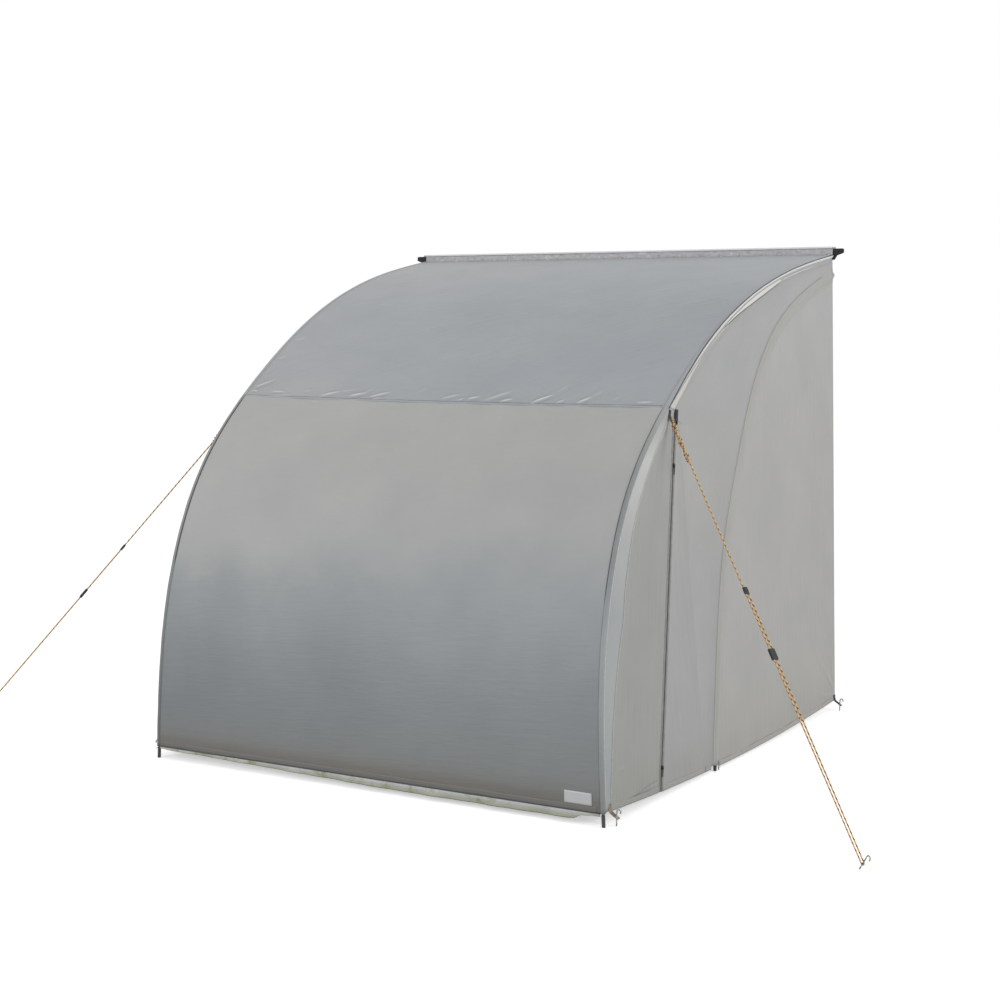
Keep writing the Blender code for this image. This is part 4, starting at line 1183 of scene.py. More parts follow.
class Pole:
    """The bent line of one pole on one side wall, by length along its flat outline."""

    def __init__(self, side: Side, flat: Array, hem: float) -> None:
        """Samples the line.

        Args:
            side: Side of the tent.
            flat: Points (forward, height) of the pole.
            hem: Height at which the sleeve ends.
        """
        self.normal = wall_normal(side)
        self.lengths = lengths_along(flat)
        self.points = on_wall(side, flat)
        self.ways = unit(np.gradient(self.points, axis=0))
        inward = np.cross(self.ways, self.normal)
        self.inwards = unit(inward * np.sign(inward @ np.array([0.0, 1.0, -0.2]))[:, None])
        self.hem_length = float(np.interp(-hem, -flat[:, 1], self.lengths))

    def point(self, places: Lengths) -> Array:
        """World points at lengths along the pole, straight on before its start."""
        places = np.atleast_1d(np.asarray(places, float))
        return looked_up(places, self.lengths, self.points) + np.minimum(places, 0.0)[:, None] * self.ways[0]

    def inward(self, places: Lengths) -> Array:
        """Directions in the wall, square to the pole, towards the rear and the ground."""
        return unit(looked_up(np.atleast_1d(places), self.lengths, self.inwards))

    def offset(self, places: Lengths, inward: Lengths, out: Lengths = 0.0) -> Array:
        """World points beside the pole: inward in the wall and out of it.

        Args:
            places: Lengths along the pole.
            inward: Distances in the wall, towards the rear and the ground.
            out: Distances out of the wall.

        Returns:
            World points.
        """
        places = np.atleast_1d(np.asarray(places, float))
        inward, out = (np.broadcast_to(np.asarray(value, float), places.shape)[:, None]
                       for value in (inward, out))
        return self.point(places) + self.inward(places) * inward + self.normal * out

    def offset_grid(self, places: Array, inward: Array, out: Array) -> Array:
        """Grid of world points beside the pole, from their distances by row and column."""
        return (self.point(places)[:, None, :] + self.inward(places)[:, None, :] * inward[..., None]
                + self.normal * out[..., None])


FRONT_POLES = {side: Pole(side, FRONT_FLAT, SIZES.hem_corner) for side in BOTH_SIDES}
MID_POLES = {side: Pole(side, MID_FLAT, float(hem_height(SIZES.mid_depth)) + 0.010) for side in BOTH_SIDES}
FRONT_LENGTH = float(FRONT_POLES[Side.RIGHT].lengths[-1])
SEAM_PLACE = SIZES.seam_share * FRONT_LENGTH
HEM_PLACE = FRONT_POLES[Side.RIGHT].hem_length


def front_place(station: Lengths) -> Array:
    """Length along the front pole at a row of the CAD cloth, which may lie between two rows."""
    found = np.interp(station, [0.0, SIZES.rows_above, SIZES.rows], [0.0, SEAM_PLACE, HEM_PLACE])
    return np.maximum(found, SIZES.sleeve_start)


def mid_place(station: Lengths) -> Array:
    """Length along the middle pole at a row of the CAD cloth."""
    found = np.interp(station, [0.0, SIZES.rows], [0.0, MID_POLES[Side.RIGHT].hem_length])
    return np.maximum(found, SIZES.sleeve_start)


BAND_SHARES = (0.0, 0.551, 0.80, 1.0)
BAND_WIDTHS = (0.030, 0.046, 0.128, 0.045)


def band_width(places: Lengths) -> Array:
    """Width of the front sleeve's band at lengths along the pole."""
    return np.interp(np.asarray(places) / FRONT_LENGTH, BAND_SHARES, BAND_WIDTHS)


def front_edge(side: Side, stations: Array) -> Array:
    """Edge of the wall cloth along the front sleeve's band."""
    places = front_place(stations)
    return FRONT_POLES[side].offset(places, band_width(places) + SIZES.seam_gap)


def mid_edge(side: Side, stations: Array, rearward: bool) -> Array:
    """Edge of the wall cloth along the middle sleeve, on its rear or front side."""
    reach = SIZES.mid_band + SIZES.seam_gap
    return MID_POLES[side].offset(mid_place(stations), reach if rearward else -reach)


def back_to_rear(points: Array, way: Array) -> Array:
    """Points moved back along a pole's start to the tent's rear edge."""
    return points - way * ((points[..., 1] - (REAR_Y - SIZES.rear_inset)) / way[1])[..., None]


class ZipLine:
    """The straight zip in the right wall, and the fold line of its door."""

    # From the zip's middle to its tape's edge: half the teeth's gap, the teeth and the tape
    tape_edge = 0.00015 + 0.0016 + 0.014
    door_top_width = 0.012

    def __init__(self) -> None:
        """Finds the zip's ends as the CAD source does."""
        self.foot = np.array([SIZES.zip_foot, float(hem_height(SIZES.zip_foot))])
        aim = np.array(SIZES.zip_top_share) * (SIZES.roof_depth, SIZES.roof_height)
        self.down = unit(self.foot - aim)
        self.rearward = np.array([self.down[1], -self.down[0]])
        edge = front_edge(Side.RIGHT, np.arange(SIZES.rows + 1))
        self.split = int(max(np.nonzero(edge[:, 2] > aim[1])[0]))
        corner = np.array([REAR_Y - edge[self.split][1], edge[self.split][2]])
        self.top = self.foot - self.down * (self.foot - corner).dot(self.down)
        self.length = float(np.linalg.norm(self.foot - self.top))

    def place(self, share: Lengths, rearward: float = 0.0) -> Array:
        """Places (forward, height) at shares of the zip, moved rearward."""
        share = np.atleast_1d(np.asarray(share, float))[:, None]
        return self.top + (self.foot - self.top) * share + self.rearward * rearward

    def fold(self, share: Lengths, rearward: float = 0.0) -> Array:
        """Places on the door's fold line, moved rearward by a distance.

        Args:
            share: Shares of the line, from its top.
            rearward: Distance to the rear.

        Returns:
            Places as (forward, height).
        """
        top = self.place(0.0, self.tape_edge + SIZES.seam_gap + self.door_top_width)[0]
        foot = np.array([SIZES.fold_foot, float(hem_height(SIZES.fold_foot))])
        way = unit(foot - top)
        share = np.atleast_1d(np.asarray(share, float))[:, None]
        return top + (foot - top) * share + np.array([way[1], -way[0]]) * rearward

    def axes(self) -> tuple[Array, Array, Array]:
        """World directions up along the zip, rearward across it, and out of the wall.

        Returns:
            The three unit vectors.
        """
        up = unit(on_wall(Side.RIGHT, self.top) - on_wall(Side.RIGHT, self.foot))
        out = wall_normal(Side.RIGHT)
        return up, unit(np.cross(out, up)), out


ZIP = ZipLine()


# Finishes of this tent

# Roof tones are lighter on the left than on the right: painted light of how each side was lit
ROOF_CLOTH = CoatedPolyester(
    "Coated polyester roof", blend=(-0.8, 0.3), wander=0.03, flute_pitch=0.026, flute_length=0.30,
    flute_turn=57.0, flute_depth=0.0048, tones=tones("1.0 A8A9A9 1.45 A6A8AA 1.75 A4A7AA 2.05 A9ABAD"),
    tones_right=tones("1.0 A2A5A6 1.45 9EA2A6 1.75 9CA1A5 2.05 A3A7A9"))
# Front tones darken towards the hem as painted shade; just above the hem they are brown, partly soil and partly
# painted shade under the hem's edge
FRONT_CLOTH = CoatedPolyester(
    "Coated polyester front", flute_pitch=0.016, flute_length=0.11, flute_turn=85.0, flute_depth=0.0015,
    dirt=0.2, tones=tones("0.045 6E6C68 0.08 73716D 0.098 7B7C7A 0.13 7E8182 0.25 7F8385 0.43 868A8C "
                          "0.54 8D9193 0.64 909496 0.70 95999A 0.74 9D9F9F 0.80 A5A6A5 0.88 A9A9A8 1.30 ADADAB"),
    tones_right=tones("0.045 706F6B 0.085 747370 0.105 7E807E 0.15 848887 0.24 878B8C 0.34 8A8E90 0.49 919597 "
                      "0.65 969A9C 0.75 999D9F 0.82 9DA0A1 0.90 A3A4A4 0.98 A8A8A7 1.30 AAAAA8"))
WALL_CLOTH = CoatedPolyester(
    "Coated polyester wall", flute_pitch=0.016, flute_length=0.30, flute_depth=0.0026, dirt=0.2,
    tones=tones("0.05 A8A7A2 0.50 A9A8A6 1.20 ABAAA7 1.90 AFAFAE"))
MID_CLOTH = CoatedPolyester("Coated polyester mid wall", dirt=0.25, tones=tones(
    "0.05 A3A3A2 0.80 A4A4A3 1.10 A8A7A4 1.50 A7A8A7 1.90 A9AAA9"))
STRIP_CLOTH = CoatedPolyester("Coated polyester strip", dirt=0.3,
                              tones=tones("0.05 9D9D99 0.75 9D9E9A 1.30 A1A29F"))
BAND_CLOTH = CoatedPolyester("Coated polyester band", wander=0.0, flute_depth=0.0003, tones=tones(
    "0.10 9EA2A2 0.45 A6AAA9 0.68 A4A7A7 0.92 AEB0AF 1.06 BEBEBC 1.18 C6C6C4 1.28 B6B6B4 1.36 AAAAA7 "
    "1.39 A6A6A3 2.05 A6A7A5"))
# Sleeve tube: its dark grey tones are painted shade on the tube's shaded side; on the right it turns pale above
# the cross seam
TUBE_CLOTH = CoatedPolyester(
    "Coated polyester sleeve", wander=0.0, blend=(-0.1, 0.1), flute_depth=0.0002,
    tones=tones("0.06 6E706F 0.30 757879 0.60 808485 0.86 8C8E8D 1.30 919190 1.40 85878A 2.05 8A8C90"),
    tones_right=tones("0.06 8A8C8A 0.30 969A9B 0.60 9EA2A3 0.74 919596 0.86 868989 1.10 888B8B 1.24 919393 "
                      "1.37 9EA0A0 1.405 B0AFAC 1.425 CFCDC8 1.60 DAD8D4 2.05 E6E6E4"))
BINDING_CLOTH = CoatedPolyester("Coated polyester binding", wander=0.0, flute_depth=0.0004,
                                tones=tones("1.30 CDCAC5 1.50 D1CECA 1.62 DDDBD6 2.05 E4E3E0"))
# The groove and edge finishes colour dark cords that paint the shade of grooves beside the sleeves and above the
# mud flap
MID_BAND_CLOTH, PAINTED_SHADE_CORD, MID_EDGE_SHADE_CORD = (
    CoatedPolyester(f"Coated polyester {name}", wander=0.0, flute_depth=depth, tones=((0.0, tone),))
    for name, depth, tone in (("mid band", 0.0006, "#AAA9A4"), ("groove", 0.0002, "#434546"),
                              ("edge", 0.0002, "#8C8D90")))
PIPING = SoiledVinyl("Vinyl piping", pale="#CDD2D3", amount=0.15, scale=30.0)
KEDER_VINYL = SoiledVinyl("Keder vinyl", pale="#C3C6C8", stain="#8F877A", amount=0.45, scale=26.0)
KEDER_WRAP = KederCloth("Keder wrap vinyl", pale="#DADBDF", stain="#8C8378")
MUD_VINYL = FlapVinyl("Mud flap vinyl", stain="#84865A", amount=0.85, scale=15.0)
LABEL_CLOTH = SoiledVinyl("Plain label", dark="#BEBFC0", pale="#C6C7C8", amount=0.05, scale=40.0)
BLACK_WEBBING = Webbing("Black webbing")
SOILED_WEBBING = Webbing("Soiled webbing", dark="#7A6C5C", pale="#B8AA96")
ZIP_TAPE = Webbing("Zip tape", dark="#868784", pale="#9A9B98", rib_pitch=0.0012)
GUY_CORD = TracerCord("Tracer guy cord")
BLACK_NYLON = MouldedNylon("Moulded nylon")
ZIP_COIL = MouldedNylon("Zip coil nylon", dark="#101011")
PEG_STEEL = ZincPlatedSteel("Zinc plated steel")
ZIP_METAL = BlackedZinc("Blacked zinc alloy")
EYELET_NICKEL = ZincPlatedSteel("Nickelled eyelet", dark="#8C8A84", pale="#B8B6B0", roughness=0.3)
POLE_FIBRE = GlassFibre("Pultruded glass fibre")
SEWING_THREAD = Thread("Sewing thread")
# Dark thread: along the cross seam its colour paints the seam's shade line; it also sews the front hem
DARK_THREAD_SEAM_SHADE = Thread("Dark seam thread", dark="#66696C", pale="#7A7D80")


@dataclass
class Studio:
    """Camera, lights, floor and world."""

    focal_pixels: float = 1510.75
    image_pixels: float = 1000.0
    sensor: float = 36.0
    # Viewpoint from the tent's rear plane, and the camera's turns in degrees
    place: Triple = (2.6926, -6.7521, 1.4229)
    turns: Triple = (-25.932, -4.267, -1.264)
    floor_half: float = 60.0
    floor_drop: float = 0.0008
    world_level: float = 0.62
    # Name, place and power of each lamp; they are square and soft, and look at the tent's middle
    lamps: tuple[tuple, ...] = (("Key light", (-3.5, -8.5, 3.8), 303.0), ("Fill light", (7.5, -0.5, 3.0), 217.0))
    lamp_size: float = 4.0
    aim: Triple = (0.0, 0.0, 0.9)

    def build(self) -> None:
        """Makes all of it."""
        bpy.context.scene.view_settings.view_transform = "Standard"
        self.camera()
        self.floor()
        self.world()
        for name, place, power in self.lamps:
            self.lamp(name, place, power)

    def camera(self) -> None:
        """Camera at the viewpoint that fits the tent's outline, edges and feet."""
        yaw, pitch, roll = (math.radians(value) for value in self.turns)
        forward = np.array([math.sin(yaw) * math.cos(pitch), math.cos(yaw) * math.cos(pitch), math.sin(pitch)])
        level = np.array([math.cos(yaw), -math.sin(yaw), 0.0])
        downward = np.cross(forward, level)
        right = math.cos(roll) * level + math.sin(roll) * downward
        down = -math.sin(roll) * level + math.cos(roll) * downward
        data = bpy.data.cameras.new("Camera")
        data.sensor_width = self.sensor
        data.lens = self.focal_pixels * self.sensor / self.image_pixels
        data.clip_start, data.clip_end = 0.05, 200.0
        made = linked("Camera", data)
        turned = Matrix((Vector(right), Vector(-down), Vector(-forward))).transposed().to_4x4()
        made.matrix_world = Matrix.Translation(Vector(self.place) + Vector((0.0, REAR_Y, 0.0))) @ turned
        bpy.context.scene.camera = made

    def floor(self) -> None:
        """Pale floor that runs back to the horizon."""
        mesh = bpy.data.meshes.new("Floor")
        mesh.from_pydata([(x * self.floor_half, y * self.floor_half, 0.0)
                          for x, y in ((-1, -1), (1, -1), (1, 1), (-1, 1))], [], [(0, 1, 2, 3)])
        made = linked("Floor", mesh)
        mesh.materials.append(StudioPaper("Studio paper").material())
        made.location.z = -self.floor_drop

    def world(self) -> None:
        """Even light from all round, white to the camera."""
        made = bpy.data.worlds.new("Studio world")
        bpy.context.scene.world = made
        made.use_nodes = True
        tree = made.node_tree
        background = tree.nodes["Background"]
        set_values(background, Color=srgb("#FFFFFF"))
        add = partial(add_node, tree)
        strength = add("MapRange", {"Value": seen_directly(add), "To Min": self.world_level, "To Max": 1.0})
        tree.links.new(strength, background.inputs["Strength"])

    def lamp(self, name: str, place: Triple, power: float) -> None:
        """Square soft light that looks at the tent's middle.

        Args:
            name: Name of the lamp.
            place: Its place.
            power: Its power, in watts.
        """
        data = bpy.data.lights.new(name, "AREA")
        data.size, data.energy = self.lamp_size, power
        made = linked(name, data)
        made.location = place
        made.rotation_mode = "QUATERNION"
        made.rotation_quaternion = (Vector(self.aim) - Vector(place)).to_track_quat("-Z", "Y")


@dataclass
class GuyRope:
    """One guy rope with its tab, knot, stopper and runner, pulled tight to its peg."""

    side: Side
    peg_ahead: float
    peg_outward: float = 0.720
    bight_height: float = 0.022
    hook_inward: float = 0.034
    rope_d: float = 0.004
    # Distance between the rope's two runs, and the length of cord after which its strands repeat
    spread: float = 0.011
    strand_turn: float = 0.009
    stopper_from_peg: float = 0.947
    # Half width and half thickness of the stopper
    stopper_half: Pair = (0.0092, 0.0045)
    knot_turns: int = 13
    knot_reach: float = 0.175
    tab_width: float = 0.018
    tab_reach: float = 0.026
    tab_sewn: float = 0.020
    tab_stands_out: float = 0.0026

    def __post_init__(self) -> None:
        """Places of the rope, as in the CAD source."""
        self.anchor = FRONT_POLES[self.side].offset(SEAM_PLACE, self.hook_inward, self.tab_stands_out)[0]
        across = self.side.value * (SIZES.rail_width / 2.0 + self.peg_outward)
        bight = np.array([across, REAR_Y - SIZES.roof_depth - self.peg_ahead, self.bight_height])
        self.first = unit(bight - self.anchor)
        level = unit(np.cross(self.first, UP))
        self.start = self.anchor + self.first * (self.tab_reach + SIZES.seam_gap)
        self.down = unit(bight + level * (self.spread / 2.0) - self.start)
        self.level = unit(level - self.down * level.dot(self.down))
        self.other = np.cross(self.down, self.level)
        self.bight = bight

    def line(self) -> Array:
        """Centreline: down to the peg, round it and back up to the stopper.

        Returns:
            Evenly spaced points.
        """
        apart = self.level * (self.spread / 2.0)
        turns = np.linspace(0.0, math.pi, 26)[1:-1, None]
        bend = self.bight + apart * np.cos(turns) + self.down * (self.spread / 2.0) * np.sin(turns)
        main = self.start + (self.bight + apart - self.start) * even(400)[:, None]
        back = self.bight - apart - self.down * self.stopper_from_peg * even(240)[:, None]
        return resample(np.concatenate([main, bend, back]), 1100)

    def strands(self, turn: Array, place: Array) -> Array:
        """Relief of the braid's strands round the cord."""
        return 1.16 + 0.14 * np.abs(np.cos(1.5 * turn - math.pi * place / self.strand_turn))

    def build(self) -> None:
        """Makes the rope and all on it."""
        line = self.line()
        rope = show_tube(f"guy_rope_{self.side.label}_cord", line, self.rope_d / 2.0, 9, GUY_CORD,
                         self.strands)
        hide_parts(f"guy_rope_{self.side.label}")
        self.knot()
        self.stopper()
        self.tab()

    def knot(self) -> Piece:
        """Hitch at the tab: the rope's end, plaited back round its own run.

        Returns:
            The piece.
        """
        steps = even(620)
        angle = TURN * self.knot_turns * steps
        swell = 0.0026 + 0.0054 * np.abs(np.sin(3.0 * math.pi * steps)) ** 1.5
        plait = (self.start + self.down * (0.004 + self.knot_reach * steps)[:, None]
                 + self.level * (swell * np.cos(angle))[:, None] + self.other * (swell * np.sin(angle))[:, None])
        turn = np.linspace(0.0, math.pi, 16)[:, None]
        loop = (self.start - self.down * 0.006 - self.first * (0.008 * np.sin(turn))
                + self.level * (0.005 * np.cos(turn)))
        line = resample(np.concatenate([loop[::-1], plait]), 900)
        return show_tube(f"guy_knot_{self.side.label}", line, 0.0024, 8, GUY_CORD)

    def stopper(self) -> Piece:
        """Small black clamp that joins the rope's end to its main run.

        Returns:
            The piece.
        """
        centre = self.bight - self.down * self.stopper_from_peg
        along = np.linspace(-0.013, 0.013, 9)
        shape = np.sqrt(np.maximum(0.0, 1.0 - (np.abs(along) / 0.0135) ** 4))[:, None]
        turns = np.linspace(0.0, TURN, 20, endpoint=False)
        square = (np.abs(np.cos(turns)) ** 4 + np.abs(np.sin(turns)) ** 4) ** -0.25
        wide = self.stopper_half[0] * (0.82 + 0.18 * shape) * np.cos(turns) * square
        thick = self.stopper_half[1] * (0.7 + 0.3 * shape) * np.sin(turns) * square
        grid = (centre + self.down * along[:, None, None] + self.level * wide[..., None]
                + self.other * thick[..., None])
        return show(grid_mesh(f"guy_stopper_{self.side.label}", grid, closed=True, caps=True), BLACK_NYLON)

    def tab(self) -> None:
        """Webbing tab, sewn on the sleeve's band, with the eyelet that holds the knot."""
        name = self.side.label
        out = wall_normal(self.side)
        flat_way = unit(self.first - out * self.first.dot(out))
        width_way = np.cross(out, flat_way)
        line = rounded(np.array([self.anchor - flat_way * self.tab_sewn, self.anchor,
                                 self.anchor + self.first * self.tab_reach]), 0.008, 34)
        Cloth(f"guy_tab_{name}_webbing", ribbon_grid(line, width_way, self.tab_width, 7), BLACK_WEBBING,
              "webbing", 0.0016, (self.tab_width, full_length(line)), [f"front_sleeve_{name}_cloth"],
              node=f"guy_tab_{name}").show()
        show_eyelet(f"guy_eyelet_{name}", self.anchor + self.first * (self.tab_reach - 0.009),
                    np.cross(self.first, width_way), 0.0028, 0.0022, 0.0012)


# Sharp folds where the cloth gathers at the cross seam, and softer ones at the left sleeve
ROOF_CREASES = creases(
    (4, 1846, 89, 1774, 45, 70), (4, 1861, 47, 1857, 45, 60), (101, 1857, 178, 1857, 45, 60),
    (100, 1884, 231, 1876, 30, 60), (237, 1850, 308, 1842, 25, 60), (349, 1876, 415, 1846, 50, 65),
    (409, 1850, 510, 1819, 25, 70), (473, 1872, 539, 1846, 55, 65), (533, 1850, 564, 1808, 25, 70),
    (562, 1872, 652, 1835, 50, 65), (579, 1884, 633, 1876, 40, 50), (764, 1846, 802, 1801, 20, 70),
    (875, 1872, 954, 1835, 38, 70), (952, 1880, 976, 1865, 40, 55), (988, 1869, 1036, 1850, 50, 65),
    (1052, 1880, 1169, 1812, 35, 80), (1129, 1880, 1178, 1861, 50, 60), (1259, 1884, 1328, 1831, 58, 65),
    (1322, 1835, 1388, 1751, 22, 90), (1354, 1880, 1385, 1861, 42, 60), (1437, 1880, 1481, 1846, 55, 65),
    (1475, 1850, 1527, 1797, 24, 80), (1562, 1865, 1607, 1831, 22, 80), (1662, 1872, 1728, 1865, 45, 60),
    (4, 1483, 79, 1434, 24, 100), (4, 1638, 60, 1589, 26, 100), (4, 1755, 34, 1683, 25, 90),
    (526, 1698, 728, 1592, 16, 120))
FRONT_CREASES = creases(
    (300, 20, 370, 30, 20, 70), (620, 16, 700, 40, 16, 80), (1300, 24, 1420, 50, 16, 90),
    (1520, 18, 1660, 30, 18, 80), (1600, 60, 1720, 30, 14, 90))


@dataclass
class RoofAndFront:
    """Roof cloth from the rail to the cross seam, and front cloth down to the hem."""

    thickness: float = 0.0012
    lift: float = 0.00565
    edge: float = 0.0066
    roof_sag: float = 0.018
    front_sag: float = 0.022
    seam_dip: float = 0.007
    seam_dip_reach: float = 0.06
    # Gathers above and below the seam: height, reach from the seam, skew and waves across the panel
    pucker: float = 0.006
    pucker_below: float = 0.004
    pucker_reach: float = 0.16
    pucker_skew: float = 0.33
    pucker_count: float = 5.0
    columns: int = 520
    roof_rows: int = 260
    front_rows: int = 200
    lap_width: float = 0.011
    hem_width: float = 0.022
    label_length: float = 0.042

    def base(self, places: Array) -> Array:
        """Grid between the two front sleeves, without relief."""
        ends = [FRONT_POLES[side].offset(places, -self.lift, -self.edge) for side in BOTH_SIDES]
        return spanned(*ends, even(self.columns + 1))

    def panel(self, name: str, places: Array, relief: Relief, folds: Sequence[Crease],
              finish: Finish) -> Cloth:
        """One panel with its relief and creases.

        Args:
            name: "roof" or "front".
            places: Lengths along the front poles of its rows.
            relief: Gives the large relief from the shares down and across.
            folds: Sharp folds of the panel.
            finish: Its finish.

        Returns:
            The cloth.
        """
        grid = self.base(places)
        length = places[-1] - places[0]
        share, down_share = np.meshgrid(even(self.columns + 1), (places - places[0]) / length)
        width = np.linalg.norm(grid[:, -1] - grid[:, 0], axis=1)[:, None]
        across, down = share * width, down_share * length
        held = np.minimum(1.0, np.minimum(share, 1.0 - share) * width / 0.03)
        marks = creased(folds, across, down) * held
        waves = ripples(across, down, 11, [(0.34, 0.5), (0.19, 0.31), (0.52, 0.24)], 0.0016) * held
        height = relief(down_share, share) + marks + waves
        return Cloth(f"{name}_cloth", grid + grid_normals(grid, Way.TURNED) * height[..., None], finish,
                     f"{name}_cloth", self.thickness, (SIZES.rail_width, float(length)),
                     ["front_pole_left_section_2", "front_pole_right_section_2"], node=f"{name}_panel",
                     way=Way.TURNED, places=np.stack([across, down], axis=2), marks=marks)

    def roof_relief(self, along: Array, share: Array) -> Array:
        """Sag of the roof, its dip at the seam and the gathers above the seam.

        Args:
            along: Shares of the panel's length, from its upper edge.
            share: Shares of its width.

        Returns:
            Height of the cloth.
        """
        from_seam = 1.0 - along
        dip = self.seam_dip * bump_at(from_seam, 0.0, self.seam_dip_reach)
        sag = -self.roof_sag * np.sin(math.pi * along) - dip
        wave = np.sin(TURN * self.pucker_count * (share + self.pucker_skew * from_seam))
        gather = self.pucker * wave * np.minimum(1.0, from_seam * SIZES.rows_above)
        return (1.0 - (2.0 * share - 1.0) ** 2) * (sag + gather * bump_at(from_seam, 0.0, self.pucker_reach))

    def front_relief(self, along: Array, share: Array) -> Array:
        """Sag of the front, its dip at the seam and soft hollows below it.

        Args:
            along: Shares of the panel's length, from its upper edge.
            share: Shares of its width.

        Returns:
            Height of the cloth.
        """
        sag = -self.front_sag * np.sin(math.pi * along) - self.seam_dip * bump_at(along, 0.0, self.seam_dip_reach)
        wave = np.sin(TURN * self.pucker_count * (share - self.pucker_skew * along) + 1.0)
        gather = self.pucker_below * wave * np.minimum(1.0, along * SIZES.rows_below)
        return (1.0 - (2.0 * share - 1.0) ** 2) * (sag + gather * bump_at(along, 0.0, self.pucker_reach))

    def build(self) -> None:
        """Makes both panels, the seam between them, the hem and the label."""
        rest = even(self.roof_rows + 1)
        roof_places = SEAM_PLACE * (1.0 - (1.0 - rest) ** 1.35)
        front_places = SEAM_PLACE + (HEM_PLACE - SEAM_PLACE) * even(self.front_rows + 1) ** 1.1
        self.panel("roof", roof_places, self.roof_relief, ROOF_CREASES, ROOF_CLOTH).show()
        self.panel("front", front_places, self.front_relief, FRONT_CREASES, FRONT_CLOTH).show()
        self.cross_seam()
        self.hem()
        self.label()

    def surface(self, place: float, relief: Relief, down_share: float, shares: Array) -> tuple[Array, Array]:
        """Line of points across the cloth at one length, with its normals.

        Args:
            place: Length along the front poles.
            relief: Relief of the panel.
            down_share: Share of the panel's length at the line.
            shares: Shares of the width at which the points lie.

        Returns:
            Points and unit normals.
        """
        grid = self.base(place + np.array([-0.01, 0.0, 0.01]))
        normals = grid_normals(grid, Way.TURNED)[1]
        at = even(self.columns + 1)
        row = grid[1] + normals * relief(np.full_like(at, down_share), at)[:, None]
        return looked_up(shares, at, row), unit(looked_up(shares, at, normals))

    def cross_seam(self) -> None:
        """Felled seam between roof and front: a narrow lap with a row of stitches in dark thread, whose colour
        paints the seam's shade line.
        """
        line, out = self.surface(SEAM_PLACE, self.roof_relief, 1.0, np.linspace(0.004, 0.996, 300))
        down = unit(np.cross(unit(np.gradient(line, axis=0)), -out))
        middle = line + out * 0.0006 - down * 0.003
        Cloth("cross_seam_lap", ribbon_grid(middle, down, self.lap_width, 5, out, 0.0012), ROOF_CLOTH,
              "roof_cloth", 0.0008, (self.lap_width, full_length(middle)), ["roof_cloth"]).show()
        show_tube("cross_seam_thread", line + down * 0.0035 + out * 0.0010, 0.0011, 6, DARK_THREAD_SEAM_SHADE)

    def hem(self) -> None:
        """Turned hem of the front cloth with its row of stitches."""
        line, out = self.surface(HEM_PLACE - self.hem_width / 2.0, self.front_relief, 1.0,
                                 np.linspace(0.006, 0.994, 260))
        down = unit(np.cross(unit(np.gradient(line, axis=0)), -out))
        grid = ribbon_grid(line + out * 0.0007, down, self.hem_width, 5, out, 0.0002)
        Cloth("front_hem", grid, FRONT_CLOTH, "front_cloth", 0.0005, (self.hem_width, full_length(line)),
              ["front_cloth"]).show()
        show_stitches("front_hem_stitches", line - down * 0.008 + out * 0.0010, out, DARK_THREAD_SEAM_SHADE)

    def label(self) -> None:
        """Plain sewn patch at the front's lower right corner."""
        rows = []
        for place in HEM_PLACE - 0.044 + self.label_length * np.linspace(-0.5, 0.5, 8):
            down_share = (place - SEAM_PLACE) / (HEM_PLACE - SEAM_PLACE)
            line, out = self.surface(place, self.front_relief, down_share, np.linspace(0.929, 0.984, 16))
            rows.append(line + out * 0.0016)
        Cloth("plain_label", np.array(rows), LABEL_CLOTH, None, 0.0010,
              (full_length(rows[0]), self.label_length), ["front_cloth"], way=Way.TURNED).show()


# Width of the pale binding that shows beside the front sleeve, by place along the pole
LENS_PLACES = (0.66, 0.72, 0.86, 1.00, 1.14, 1.28, 1.54, 1.62, 1.72, 1.85, SEAM_PLACE - 0.042,
               SEAM_PLACE - 0.022)
LENS_WIDTHS = (0.008, 0.013, 0.018, 0.017, 0.010, 0.003, 0.003, 0.010, 0.021, 0.029, 0.026, 0.004)
# Turn round the sleeve, in degrees, where the cloth of the roof ends on it, by place along the pole
LAP_PLACES = (0.0, 0.70, 1.10, 1.30, 1.50, 1.62, 1.75, 1.85, SEAM_PLACE)
LAP_TURNS = (120.0, 114.0, 128.0, 142.0, 138.0, 124.0, 104.0, 80.0, 70.0)


def ends_taper(turn: Array, place: Array) -> Array:
    """Factor of a cord's radius: thinner over 50 mm towards both ends."""
    return 0.15 + 0.85 * np.clip(np.minimum(place, place.max() - place) / 0.05, 0.0, 1.0)


